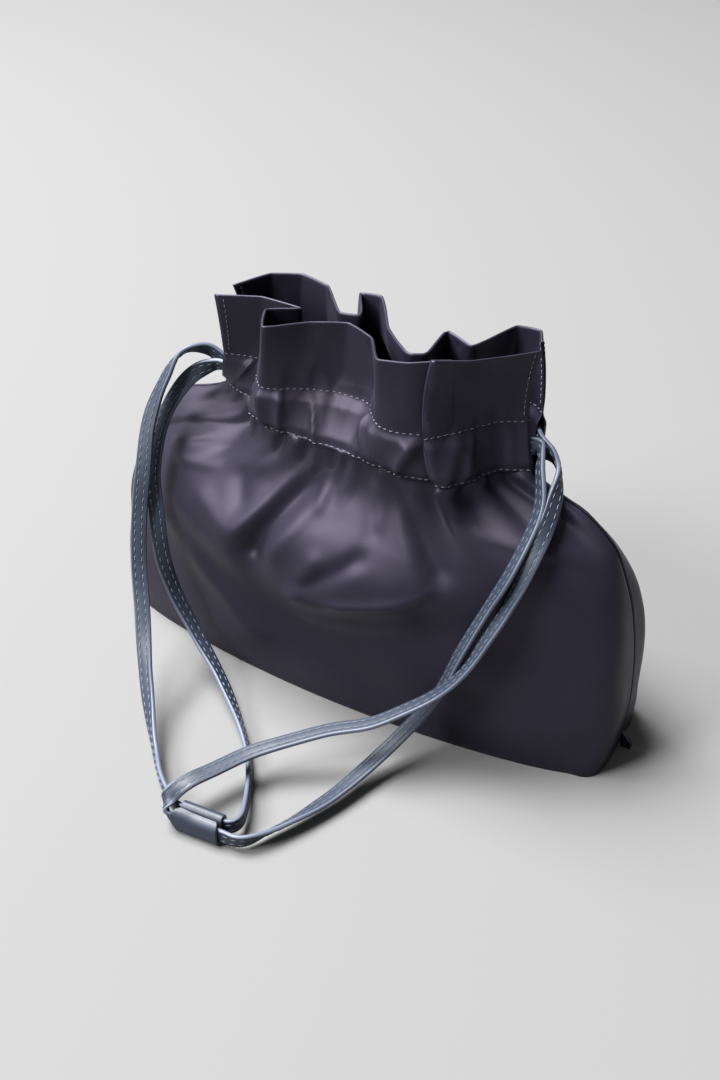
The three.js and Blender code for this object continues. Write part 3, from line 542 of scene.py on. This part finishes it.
# %% [markdown]
# The drawstraps come out of the channel's mouths, hang down the front and lie on the floor,
# where both run through the keeper. A route is a list of points with a lean: how far the
# strap's width is tipped out of the level. Each strap is two layers of leather, so its
# section is flat with rounded, painted edges, and two rows of stitching run along it. The
# centre line is eased a little, which takes out its sharpest turns.

# %% Strap routes
LEFT_OUT = [
    (-87, -4, 155, 70), (-96, -13, 156, 40), (-101, -23, 144, 12), (-104, -34, 126, 0),
    (-102, -45, 104, -6), (-101, -53, 82, -6), (-97, -62, 62, -4), (-88, -74, 42, 6),
    (-72, -95, 19, 40), (-48, -121, 7, 80), (-34, -134.5, 7, 90), (-24, -141.5, 7.4, 90),
]
LEFT_BACK = [
    (12.5, -138, 7.4, 90), (9.5, -130, 6.4, 88), (5, -121, 5.2, 84), (-3, -108, 5, 80),
    (-16, -93, 5.4, 70), (-46, -69, 11, 40), (-68, -58, 23, 16), (-83, -54, 42, 0),
    (-90, -52, 60, -6), (-95, -47, 80, -6), (-101, -39, 101, -2), (-101, -25, 126, 14),
    (-92, -13, 144, 60),
]
RIGHT_OUT = [
    (85.5, -3, 145, 74), (91.5, -14.8, 131.5, 52), (88.8, -33.6, 109.5, 24), (81, -39, 88, 4),
    (73, -46, 65, -2), (65, -51, 39, 0), (58, -57, 25, 2), (52, -66, 16, 6),
    (46, -81, 9.5, 10), (39, -105, 6.5, 20), (29, -129, 6, 45), (18, -146, 6, 80),
]
RIGHT_BACK = [
    (-20.5, -149.5, 9.5, 70), (-19.5, -145.5, 15, 34), (-16, -137, 17.5, 8),
    (-11, -126, 17, 2), (-2, -108, 17, 0), (11, -95, 20, -4), (27, -83, 25, -4),
    (43, -75, 30, -6), (54, -67, 36, -8), (67, -57, 45, -8), (78, -51, 60, -8),
    (84, -46, 75, -6), (90, -38, 92, -2), (95.5, -30, 113.5, 14), (96.8, -13.8, 131.5, 38),
    (91, 4, 144, 70),
]
STRAP_STEP = 1.3
ROUTE_CUTS = 6001
EASING_PASSES = 6
TWIST_PASSES = 3
SLOPE_STEP = 0.01
MOUTH_RUN = 5.0
MOUTH_PLACES = (0.75, 0.5, 0.25, 0.0)
KEEPER_RUN = 3.0
KEEPER_LENGTH = 20.5
KEEPER_WALL = 1.4
KEEPER_CLEARANCE = 0.5
KEEPER_RISE = 1.6
KEEPER_PLACE = np.array([-2.8, -146.2, 0.0])
KEEPER_TURN = math.radians(5.5)
LOOP_WIDTH = STRAP_THICKNESS + 2 * KEEPER_CLEARANCE
LOOP_HEIGHT = STRAP_WIDTH + 2 * KEEPER_CLEARANCE
FRONT_LOOP = (-(LOOP_WIDTH + KEEPER_WALL) / 2, KEEPER_WALL)
BACK_LOOP = ((LOOP_WIDTH + KEEPER_WALL) / 2, KEEPER_WALL + KEEPER_RISE)


def keeper_frame(points):
    """Points of the keeper's own frame, along its length, across it and up, in the bag's."""
    points = np.asarray(points, float)
    c, s = math.cos(KEEPER_TURN), math.sin(KEEPER_TURN)
    turn = np.array([[c, s, 0.0], [-s, c, 0.0], [0.0, 0.0, 1.0]])
    return points @ turn + KEEPER_PLACE


def mouth_stations(folds, end):
    """Middle of the channel from inside one end out through its mouth, and the way up it."""
    half = STRAP_WIDTH / 2 + 2 * CHANNEL_CLEARANCE
    middle = CHANNEL_FOOT + CHANNEL_HEIGHT / 2
    places = np.array(MOUTH_PLACES)
    if end > 0:
        places = len(folds) - 1 - places
    low = curve_at(neck_tips(folds, middle - half), places)
    high = curve_at(neck_tips(folds, middle + half), places)
    points = (low + high) / 2
    across = unit(high - low)
    outside = points[-1] + unit(points[-1] - points[-2]) * MOUTH_RUN
    return np.vstack([points, outside]), np.vstack([across, across[-1:]])


def strap_course(end, outward, returning, loop):
    """Centre line of a strap, finely cut, and the direction of its width at every point."""
    first, first_across = mouth_stations(BACK_FOLDS if end < 0 else FRONT_FOLDS, end)
    last, last_across = mouth_stations(FRONT_FOLDS if end < 0 else BACK_FOLDS, end)
    reach = KEEPER_LENGTH / 2 + KEEPER_RUN
    through = [-reach, -KEEPER_LENGTH / 2, 0.0, KEEPER_LENGTH / 2, reach]
    if end > 0:
        through.reverse()
    inside = keeper_frame([(d, loop[0], loop[1] + LOOP_HEIGHT / 2) for d in through])
    free = [np.array(rows, float) for rows in (outward, returning)]
    points = np.vstack([first, free[0][:, :3], inside, free[1][:, :3], last[::-1]])
    leans = np.radians(np.concatenate([free[0][:, 3], [90.0] * len(inside), free[1][:, 3]]))
    places = np.arange(len(points), dtype=float)
    along = unit(curve_at(points, np.clip(places + SLOPE_STEP, 0, places[-1]))
                 - curve_at(points, np.clip(places - SLOPE_STEP, 0, places[-1])))
    level = unit(np.stack([-along[:, 1], along[:, 0], np.zeros(len(along))], axis=1))
    face = np.cross(along, level)
    widths = level.copy()
    middle = slice(len(first), len(points) - len(last))
    widths[middle] = (level[middle] * np.cos(leans)[:, None]
                      + face[middle] * np.sin(leans)[:, None])
    widths[:len(first)] = first_across
    widths[len(points) - len(last):] = last_across[::-1]
    for i in range(1, len(widths)):
        if widths[i] @ widths[i - 1] < 0:
            widths[i] *= -1
    fine = np.linspace(0, places[-1], ROUTE_CUTS)
    shares = length_shares(curve_at(points, fine))
    length = np.linalg.norm(np.diff(curve_at(points, fine), axis=0), axis=1).sum()
    marks = np.interp(np.linspace(0, 1, int(length / STRAP_STEP) + 1), shares, fine)
    path = curve_at(points, marks)
    for _ in range(EASING_PASSES):
        path[1:-1] = (path[:-2] + 2 * path[1:-1] + path[2:]) / 4
    k = np.clip(marks.astype(int), 0, len(points) - 2)
    t = smooth(marks - k)[:, None]
    across = widths[k] * (1 - t) + widths[k + 1] * t
    along = unit(np.gradient(path, axis=0))
    across = unit(across - along * np.sum(across * along, axis=1, keepdims=True))
    for _ in range(TWIST_PASSES):
        across[1:-1] = unit(across[:-2] + 2 * across[1:-1] + across[2:])
        across = unit(across - along * np.sum(across * along, axis=1, keepdims=True))
    return path, across, np.cross(along, across), length


print("routes:", len(LEFT_OUT) + len(LEFT_BACK), "and", len(RIGHT_OUT) + len(RIGHT_BACK), "points")


# %% [markdown]
# Each strap is its section swept along the route. The faces sink a little at the stitch
# rows, the painted edges get their own material, and thread lies on both faces.

# %% Straps
STITCH_ROW = 1.75
STITCH_PITCH = 4.3
STITCH_START = 2.0
STITCH_LENGTH = 3.1
STITCH_RADIUS = 0.27
STITCH_SINK = 0.03
FACE_CROWN = 0.10
GROOVE_DEPTH = 0.09
GROOVE_WIDTH = 0.35
PAINTED_FROM = 3.6


def strap_section():
    """Outline of the strap, across and through: two faces and two rounded edges."""
    half = STRAP_WIDTH / 2
    thick = STRAP_THICKNESS / 2
    w = np.array([-3.45, -2.8, -2.1, -1.75, -1.4, -0.7, 0.0, 0.7, 1.4, 1.75, 2.1, 2.8, 3.45])
    t = thick - FACE_CROWN * (w / half) ** 2
    t = t - GROOVE_DEPTH * np.exp(-((np.abs(w) - STITCH_ROW) / GROOVE_WIDTH) ** 2)
    edge = np.array([(3.8, thick - 0.32), (half - 0.02, 0.35)])
    top = np.stack([w, t], axis=1)
    right = np.vstack([edge, edge[::-1] * (1, -1)])
    return np.vstack([top, right, -top, -right])


def make_strap(name, node, end, outward, returning, loop):
    path, across, through, length = strap_course(end, outward, returning, loop)
    section = strap_section()
    grid = (path[:, None, :] + across[:, None, :] * section[None, :, :1]
            + through[:, None, :] * section[None, :, 1:])
    walked = np.linspace(0, length, len(path))
    flat = np.stack(np.broadcast_arrays(walked[:, None], section[None, :, 0]), axis=-1)
    piece = grid_piece(name, grid, flat, [strap_leather, strap_edge], wrap=True, ends=True,
                       flip=True)
    width = np.abs(section[:, 0])
    edge_columns = {i for i in range(len(section))
                    if (width[i] + width[(i + 1) % len(section)]) / 2 > PAINTED_FROM}
    index = np.zeros(len(piece.data.polygons), int)
    for face in range((len(path) - 1) * len(section)):
        index[face] = 1 if face % len(section) in edge_columns else 0
    piece.data.polygons.foreach_set("material_index", index)
    places = []
    alongs = []
    for row in (-STITCH_ROW, STITCH_ROW):
        for side in (-1, 1):
            line = path + across * row + through * side * (STRAP_THICKNESS / 2 - STITCH_SINK)
            place, along = along_path(line, STITCH_PITCH, STITCH_START)
            places.append(place)
            alongs.append(along)
    thread = stitches(name + "_stitching", np.vstack(places), np.vstack(alongs),
                      STITCH_LENGTH, STITCH_RADIUS, strap_thread)
    for made in (piece, thread):
        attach(made, "root")
    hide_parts(node)
    print(name, "is", round(length), "mm long")
    return piece, thread, path, length


left_strap, left_thread, left_path, left_length = make_strap(
    "left_strap", "left_drawstrap", -1, LEFT_OUT, LEFT_BACK, BACK_LOOP)
right_strap, right_thread, right_path, right_length = make_strap(
    "right_strap", "right_drawstrap", 1, RIGHT_OUT, RIGHT_BACK, FRONT_LOOP)

# %% [markdown]
# The keeper is one strip of the same leather rolled into two loops side by side. Its section
# starts on top of the low front loop, goes round it and under both, up the back, over the
# higher back loop and down between the two.


# %% Keeper
KEEPER_STRIP = 60.0
KEEPER_LEATHER = 1.25
KEEPER_EDGE = 0.18
TAB_FLARE = 3.2
TAB_LIFT = 1.2


def make_keeper():
    wall = KEEPER_WALL / 2
    outer = LOOP_WIDTH + KEEPER_WALL
    low_top = FRONT_LOOP[1] + LOOP_HEIGHT + wall
    high_top = BACK_LOOP[1] + LOOP_HEIGHT + wall
    section = np.array([
        (-0.9, low_top + 0.9), (-1.7, low_top + 0.6), (-3.0, low_top + 0.1),
        (-outer + 0.3, low_top - 1.5), (-outer, low_top - 4.0), (-outer, 3.6),
        (-outer + 0.5, 1.4), (-outer + 1.6, wall), (0.0, wall), (outer - 1.6, wall),
        (outer - 0.4, 1.6), (outer, 4.0), (outer, high_top - 3.0), (outer - 0.7, high_top - 0.8),
        (outer / 2, high_top), (0.7, high_top - 0.8), (0.05, high_top - 2.8), (0.0, 6.0),
        (0.0, 2.1)])
    path = curve_at(section, np.linspace(0, len(section) - 1, 150))
    shares = length_shares(path)
    columns = np.linspace(-1, 1, 31)
    flare = TAB_FLARE * np.exp(-((shares - 0.13) / 0.10) ** 2)
    rounding = 1.4 * np.exp(-shares / 0.02)
    left = KEEPER_LENGTH / 2 + flare - rounding
    right = KEEPER_LENGTH / 2 - 1.6 * np.exp(-shares / 0.03)
    along = np.where(columns[None, :] < 0, columns[None, :] * left[:, None],
                     columns[None, :] * right[:, None])
    lift = TAB_LIFT * smooth(-columns)[None, :] \
        * np.exp(-((shares - 0.06) / 0.08) ** 2)[:, None]
    grid = np.stack([along, np.broadcast_to(path[:, :1], along.shape),
                     path[:, 1:] + lift], axis=-1)
    walked = shares[:, None] * KEEPER_STRIP
    flat = np.stack(np.broadcast_arrays(along, walked), axis=-1)
    piece = grid_piece("rolled_keeper", keeper_frame(grid.reshape(-1, 3)).reshape(grid.shape),
                       flat, [strap_leather, strap_edge])
    thick = piece.modifiers.new("leather thickness", "SOLIDIFY")
    thick.thickness = KEEPER_LEATHER * MM
    thick.offset = 0.0
    thick.material_offset_rim = 1
    soft = piece.modifiers.new("soft edges", "BEVEL")
    soft.width = KEEPER_EDGE * MM
    soft.segments = 2
    soft.limit_method = "ANGLE"
    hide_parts("keeper")
    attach(piece, "root")
    return piece


keeper = make_keeper()

# %% [markdown]
# The body. Its plan at each height is a squared-off end with a soft bow along the front, and
# near the top it settles into the folded neck. The cloth stands out above the crease and
# tucks in under it. Its middle slumps, so it leaves the seam at a slope, and small gathers
# run down from the stitching. The top edge tucks in behind the collar.


# %% Body panels
PLAN_POINTS = 401
ROWS_BELOW = 60
ROWS_ABOVE = 44
SWELL = 0.7
SWELL_SIZE = 46.0
SETTLING_PASSES = 6
SEAM_TUCK = 0.9
TUCK_FROM = 2.0
TUCK_RUN = 2.5
SEAM_LAP = 1.0
PANEL_GAP = 0.75
GATHER_ENDS = 0.03
SLUMP = 0.8
SLUMP_FROM = 0.72
SLUMP_BEND = 1.6
PUCKER_DIP = 0.7


def body_surface(side, shares, top):
    """Plain body at every millimetre of height and every share of its length."""
    heights = np.arange(0.0, math.ceil(top) + 2.0)
    place = heights / SHOULDER_HEIGHT
    reach = BASE_LENGTH / 2 * table_value(BODY_SECTIONS, 1, place)
    square = BASE_DEPTH * np.maximum(table_value(BODY_SECTIONS, 2, place), 0)
    bow = BASE_DEPTH * table_value(BODY_SECTIONS, 3, place)
    q = np.linspace(-1, 1, PLAN_POINTS)
    x = np.sign(q) * (1 - (1 - np.abs(q)) ** 3)
    squared = (1 - np.abs(x) ** SIDE_SQUARENESS) ** (1 / SIDE_SQUARENESS)
    surface = np.empty((len(heights), len(shares), 3))
    for k, height in enumerate(heights):
        fine = np.stack([x * reach[k], side * (square[k] * squared + bow[k] * (1 - x * x)),
                         np.full(len(x), height)], axis=1)
        marks = length_shares(fine)
        for axis in range(3):
            surface[k, :, axis] = np.interp(shares, marks, fine[:, axis])
    return surface


def fold_rise(crease, ridges, share, height):
    line = SHOULDER_HEIGHT * table_value(crease, 1, share)
    bulge = BASE_DEPTH * table_value(crease, 2, share)
    tuck = BASE_DEPTH * table_value(crease, 3, share)
    s = height / line
    under = np.where(s < TUCK_SHARE, -tuck * smooth(s / TUCK_SHARE),
                     mix(-tuck, bulge, smooth((s - TUCK_SHARE) / (1 - TUCK_SHARE))))
    over = bulge * (1 - smooth((height - line) / (CHANNEL_FOOT - line)))
    rise = np.where(height < line, under, over)
    for along, low, to_along, to_height, spread, ridge_rise in ridges:
        a = np.array([along * BASE_LENGTH, low * SHOULDER_HEIGHT])
        d = np.array([to_along * BASE_LENGTH, to_height * SHOULDER_HEIGHT]) - a
        px = share * BASE_LENGTH - a[0]
        py = height - a[1]
        t = clamp01((px * d[0] + py * d[1]) / (d @ d))
        off = np.hypot(px - t * d[0], py - t * d[1]) / (spread * BASE_DEPTH)
        rise = rise + ridge_rise * BASE_DEPTH * np.exp(-off * off)
    fade = smooth(share / END_FADE) * smooth((1 - share) / END_FADE)
    top_fade = smooth((CHANNEL_FOOT - height) / (CHANNEL_FOOT - SHOULDER_HEIGHT))
    return rise * fade * top_fade


def gathers(share, drop, length, seed):
    """Small pleats that start at the stitching and run out into the cloth."""
    random = np.random.default_rng(seed)
    rise = np.zeros_like(share)
    place = 0.0
    while place < 1.0:
        place += random.uniform(0.020, 0.048)
        reach = random.uniform(16.0, 50.0)
        lean = random.uniform(-0.18, 0.18)
        depth = random.uniform(1.1, 2.8) * random.choice([-1.0, -1.0, 0.8])
        width = random.uniform(2.2, 4.4) * (1 + drop / 34.0)
        off = ((share - place) * length - lean * drop) / width
        rise += depth * np.exp(-off * off) * (1 - smooth(drop / reach)) * smooth(drop / 3.0 + 0.25)
    return rise


def casing_pleats(share, height, length, seed):
    """Puckers of the casing between its two stitch lines, running on a little way above it."""
    random = np.random.default_rng(seed)
    rise = np.zeros_like(share)
    s = clamp01((height - CHANNEL_FOOT) / CHANNEL_HEIGHT)
    between = 0.30 + 0.70 * np.sin(math.pi * s) ** 0.7
    place = 0.0
    while place < 1.0:
        place += random.uniform(0.020, 0.046)
        lean = random.uniform(-0.55, 0.55)
        depth = random.uniform(1.6, 3.8) * random.choice([-1.0, 1.0, 0.8])
        width = random.uniform(1.3, 2.5) * (0.75 + 0.5 * between
                                            + np.maximum(height - CHANNEL_TOP, 0) / 9.0)
        above = 1 - smooth((height - CHANNEL_TOP) / random.uniform(7.0, 22.0))
        off = ((share - place) * length - lean * (height - CHANNEL_FOOT)) / width
        ridge = np.exp(-np.abs(off) ** 1.6)
        rise += depth * ridge * np.where(height > CHANNEL_TOP, 0.30 * above, between)
    return np.where(rise < 0, PUCKER_DIP * np.tanh(rise / PUCKER_DIP), rise)


def soft_noise(share, height, length, size, seed):
    """Low swells of the cloth: a few crossed waves of about the given size."""
    random = np.random.default_rng(seed)
    total = np.zeros_like(share)
    for _ in range(9):
        angle = random.uniform(0, math.pi)
        wave = size * random.uniform(0.7, 1.5)
        phase = random.uniform(0, 2 * math.pi)
        total += np.sin(2 * math.pi * (share * length * math.cos(angle)
                                       + height * math.sin(angle)) / wave + phase)
    return total / 3.0


def panel_grid(side, folds, crease, ridges, seed):
    columns, foot_length = neck_columns(folds)
    shares = np.linspace(0, 1, len(columns))
    foot = curve_at(neck_tips(folds, CHANNEL_FOOT), columns)
    top = CHANNEL_FOOT + SEAM_LAP
    line = SHOULDER_HEIGHT * table_value(crease, 1, shares)
    below = 1 - (1 - np.linspace(0, 1, ROWS_BELOW)) ** 1.5
    above = np.linspace(0, 1, ROWS_ABOVE)[1:] ** 1.25
    heights = np.vstack([below[:, None] * line, line + above[:, None] * (top - line)])
    surface = body_surface(side, shares, top)
    k = np.clip(heights.astype(int), 0, len(surface) - 2)
    t = (heights - k)[..., None]
    column = np.arange(len(shares))[None, :]
    plain = surface[k, column] * (1 - t) + surface[k + 1, column] * t
    along = unit(np.gradient(plain, axis=1))
    out = np.stack([-along[..., 1], along[..., 0], np.zeros(plain.shape[:2])], axis=-1) * side
    share = np.broadcast_to(shares, heights.shape)
    rise = fold_rise(crease, ridges, share, heights)
    fade = smooth(share / END_FADE) * smooth((1 - share) / END_FADE) * smooth(heights / 25.0)
    rise = rise + SWELL * soft_noise(share, heights, BASE_LENGTH, SWELL_SIZE, seed) * fade \
        * smooth((CHANNEL_FOOT - heights) / 20.0)
    grid = plain + out * rise[..., None]
    inward = smooth(np.minimum(share, 1 - share) / END_SETTLE_RUN)
    settle_from = mix(mix(SHOULDER_HEIGHT, CHANNEL_FOOT, END_SETTLE_SHARE),
                      MIDDLE_SETTLE_SHARE * SHOULDER_HEIGHT, inward)
    rising = clamp01((heights - settle_from) / (CHANNEL_FOOT - settle_from))
    slumped = SLUMP * smooth((inward - SLUMP_FROM) / (1 - SLUMP_FROM))
    settle = mix(smooth(rising), rising ** SLUMP_BEND, slumped)
    grid[..., :2] = mix(grid[..., :2], foot[None, :, :2], settle[..., None])
    for _ in range(SETTLING_PASSES):
        middle = (grid[:-2, 1:-1] + grid[2:, 1:-1] + grid[1:-1, :-2] + grid[1:-1, 2:]) / 4
        grid[1:-1, 1:-1] = mix(grid[1:-1, 1:-1], middle, 0.5)
    normals = grid_normals(grid) * side * -1.0
    drop = CHANNEL_FOOT - heights
    small = gathers(share, drop, foot_length, seed + 1) * smooth(share / GATHER_ENDS) \
        * smooth((1 - share) / GATHER_ENDS)
    small = small - SEAM_TUCK * smooth((TUCK_FROM - drop) / TUCK_RUN)
    grid = grid + normals * small[..., None]
    grid[..., 1] = side * np.maximum(side * grid[..., 1], PANEL_GAP)
    grid[0, :, 2] = 0.0
    flat = np.stack([share * BASE_LENGTH, heights], axis=-1)
    return grid, flat, foot_length


def make_panel(name, node, side, folds, crease, ridges, seed):
    grid, flat, length = panel_grid(side, folds, crease, ridges, seed)
    piece = grid_piece(name, grid, flat, [satin], flip=side > 0)
    thick = piece.modifiers.new("cloth thickness", "SOLIDIFY")
    thick.thickness = CLOTH * MM
    thick.offset = 0.0
    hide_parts(node)
    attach(piece, "root")
    print(name, grid.shape[:2], "grid, neck length", round(length), "mm")


make_panel("front_panel_satin", "front_panel", -1, FRONT_FOLDS, FRONT_CREASE, FRONT_RIDGES, 3)
make_panel("back_panel_satin", "back_panel", 1, BACK_FOLDS, BACK_CREASE, BACK_RIDGES, 8)

# %% [markdown]
# The collar is one cloth folded over at the brim: up the outside, over, and down the inside.
# Two rows of stitching hold the layers together below and above the drawstring channel, and
# the layers part round the strap between them. Above the channel its folds are pressed, so
# it stands in flat facets.

# %% Collar
LAYER = 0.5
SEAM_OFF = 0.35
WALL_OFF = 0.70
BRIM_ROLL = 0.9
BRIM_DROP = 1.0
PRESSED_FOLDS = 0.75
PRESSED_BY = 16.0
FOLD_STEP = 0.06
PLAIN_ENDS = 0.03
PUCKER_RUN = 0.06
RIPPLE = 0.35
RIPPLE_SIZE = 38.0
COLLAR_GAP = 0.4
CHANNEL_PUFF = STRAP_THICKNESS / 2 + CHANNEL_CLEARANCE + LAYER


def collar_profile():
    """Height and stand-off of the folded cloth, up its outside, over the brim and down inside."""
    low = np.linspace(CHANNEL_FOOT, CHANNEL_TOP, 22)
    s = (low - CHANNEL_FOOT) / CHANNEL_HEIGHT
    puff = SEAM_OFF + (CHANNEL_PUFF - SEAM_OFF) * smooth(np.minimum(s, 1 - s) / 0.24)
    high = np.linspace(CHANNEL_TOP, BRIM - BRIM_DROP, 24)[1:]
    wall = SEAM_OFF + (WALL_OFF - SEAM_OFF) * smooth((high - CHANNEL_TOP) / 6.0)
    turn = np.linspace(0, math.pi, 9)[1:-1]
    roll_height = BRIM - BRIM_DROP + BRIM_ROLL * np.sin(turn)
    roll_off = WALL_OFF * np.cos(turn)
    outside = np.stack([np.concatenate([low, high]), np.concatenate([puff, wall])], axis=1)
    over = np.stack([roll_height, roll_off], axis=1)
    inside = outside[::-1] * np.array([1.0, -1.0])
    return np.vstack([outside, over, inside])


def pressed_curve(tips, columns, crisp):
    """The neck's curve, drawn towards straight facets between its folds."""
    k = np.clip(columns.astype(int), 0, len(tips) - 2)
    facets = mix(tips[k], tips[k + 1], (columns - k)[:, None])
    return mix(curve_at(tips, columns), facets, crisp)


def neck_frame(folds, columns, height):
    """Points of the neck's middle surface at a height, and the way outwards from it."""
    tips = neck_tips(folds, height)
    crisp = PRESSED_FOLDS * float(smooth((height - CHANNEL_TOP) / PRESSED_BY))
    path = pressed_curve(tips, columns, crisp)
    near = pressed_curve(tips, np.clip(columns + FOLD_STEP, 0, len(folds) - 1), crisp)
    far = pressed_curve(tips, np.clip(columns - FOLD_STEP, 0, len(folds) - 1), crisp)
    along = near - far
    along[:, 2] = 0
    along = unit(along)
    return path, np.stack([along[:, 1], -along[:, 0], np.zeros(len(path))], axis=1)


def make_collar(name, node, side, folds, seed):
    columns, foot_length = neck_columns(folds)
    profile = collar_profile()
    share = np.linspace(0, 1, len(columns))
    ends = smooth((share - PLAIN_ENDS) / PUCKER_RUN) \
        * smooth((1 - PLAIN_ENDS - share) / PUCKER_RUN)
    rows = []
    walked = 0.0
    flat = []
    for j, (height, off) in enumerate(profile):
        path, outward = neck_frame(folds, columns, height)
        pleat = casing_pleats(share, height, foot_length, seed) * ends
        pleat = np.where(off * side < 0, pleat, 0.5 * pleat) * -side
        wave = soft_noise(share, np.full(len(share), height), foot_length, RIPPLE_SIZE, seed)
        wave = wave * RIPPLE * smooth((height - CHANNEL_TOP) / 14.0) * ends
        rows.append(path + outward * (off + pleat + wave)[:, None])
        if j:
            walked += float(np.hypot(*(profile[j] - profile[j - 1])))
        flat.append(np.stack([share * foot_length, np.full(len(share), walked)], axis=1))
    grid = np.array(rows)
    for edge in (slice(0, 2), slice(-2, None)):
        grid[edge, :, 1] = side * np.maximum(side * grid[edge, :, 1], COLLAR_GAP)
    piece = grid_piece(name, grid, np.array(flat), [satin])
    thick = piece.modifiers.new("cloth thickness", "SOLIDIFY")
    thick.thickness = LAYER * MM
    thick.offset = -1.0
    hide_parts(node)
    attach(piece, "root")
    print(name, grid.shape[:2], "grid, neck length", round(foot_length), "mm")
    return grid, profile


front_collar_grid, collar_shape = make_collar(
    "front_collar_satin", "front_collar", -1, FRONT_FOLDS, 5)
back_collar_grid, _ = make_collar(
    "back_collar_satin", "back_collar", 1, BACK_FOLDS, 6)

# %% [markdown]
# Thread shows along both stitch lines, on both faces of each collar, and down the hemmed
# edges of the side slits.

# %% Collar stitching
SEAM_PITCH = 3.0
HEM_PITCH = 2.7
SEAM_STITCH = 2.0
SEAM_RADIUS = 0.24
SEAM_RISE = 1.2
THREAD_STAND = 0.12
HEM_INSET = 2.4
HEM_FROM = 3.0


def collar_stitching(name, grid, profile):
    faces = grid_normals(grid)
    rows = len(profile)
    half = rows // 2
    places = []
    alongs = []
    heights = profile[:half, 0]
    for height in (CHANNEL_FOOT + SEAM_RISE, CHANNEL_TOP):
        low = int(np.argmin(np.abs(heights - height)))
        for row in (low, rows - 1 - low):
            line = grid[row] + faces[row] * THREAD_STAND
            place, along = along_path(line, SEAM_PITCH, 1.5)
            places.append(place)
            alongs.append(along)
    inset = int(round(HEM_INSET / COLUMN_STEP))
    low = int(np.argmin(np.abs(heights - CHANNEL_TOP - HEM_FROM)))
    for column in (inset, grid.shape[1] - 1 - inset):
        for part in (slice(low, half - 3), slice(half + 4, rows - low)):
            line = grid[part, column] + faces[part, column] * THREAD_STAND
            place, along = along_path(line, HEM_PITCH, 1.0)
            places.append(place)
            alongs.append(along)
    piece = stitches(name, np.vstack(places), np.vstack(alongs), SEAM_STITCH, SEAM_RADIUS,
                     satin_thread)
    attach(piece, "root")


collar_stitching("front_collar_stitching", front_collar_grid, collar_shape)
collar_stitching("back_collar_stitching", back_collar_grid, collar_shape)

# %% [markdown]
# The bottom and the two seam corners are right as they are in the CAD, so they only get
# satin, patterned on the piece itself because they have no flat coordinates.

# %% Plain CAD pieces get the satin too
for name in ("base", "left_corner_tab", "right_corner_tab"):
    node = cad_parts[name]
    node.data.materials.clear()
    node.data.materials.append(base_satin)
    print(name, "has", node.data.materials[0].name)

# %% [markdown]
# The floor is plain. One wide soft light hangs high over the bag on the left, so every fold
# that faces up shines, and a weaker one in front of it on the left fills the steeper folds.
# The floor is a mid grey that the strong light lifts to a pale one: it then throws little
# light back, and the cloth that faces the camera stays dark.


# %% Floor and light
FLOOR_SIDE = 12.0
SKY_STRENGTH = 0.30


def make_floor():
    mesh = bpy.data.meshes.new("floor")
    half = FLOOR_SIDE / 2
    mesh.from_pydata([(-half, -half, 0), (half, -half, 0), (half, half, 0), (-half, half, 0)],
                     [], [(0, 1, 2, 3)])
    floor = link_object("floor", mesh)
    material, tree, shader = new_material("pale paper", {
        "Base Color": linear("#616161"), "Roughness": 0.9, "Specular IOR Level": 0.1})
    place = add_node(tree, "ShaderNodeTexCoord")
    mottle = add_node(tree, "ShaderNodeTexNoise", None, {
        "Vector": place.outputs["Object"], "Scale": 300.0, "Detail": 3.0})
    bump = add_node(tree, "ShaderNodeBump", None, {
        "Strength": 0.1, "Distance": 0.0002, "Height": mottle.outputs["Fac"]})
    tree.links.new(bump.outputs["Normal"], shader.inputs["Normal"])
    mesh.materials.append(material)


def area_light(name, place, target, size, power):
    data = bpy.data.lights.new(name, "AREA")
    data.shape = "RECTANGLE"
    data.size, data.size_y = size
    data.energy = power
    place = np.array(place, float)
    back = unit(place - np.array(target, float))
    right = unit(np.cross([0.0, 0.0, 1.0], back))
    aim(link_object(name, data), right, np.cross(back, right), back, place)


make_floor()
area_light("window", (-1.45, 0.05, 3.20), (0.0, 0.2, 0.0), (1.90, 1.90), 650.0)
area_light("reflector", (-1.35, -1.80, 2.00), (0.0, 0.0, 0.08), (0.90, 0.90), 160.0)
world = bpy.data.worlds.new("studio")
world.use_nodes = True
sky = world.node_tree.nodes["Background"]
sky.inputs["Color"].default_value = linear("#eef0f2")
sky.inputs["Strength"].default_value = SKY_STRENGTH
bpy.context.scene.world = world
bpy.context.scene.view_settings.view_transform = "Standard"
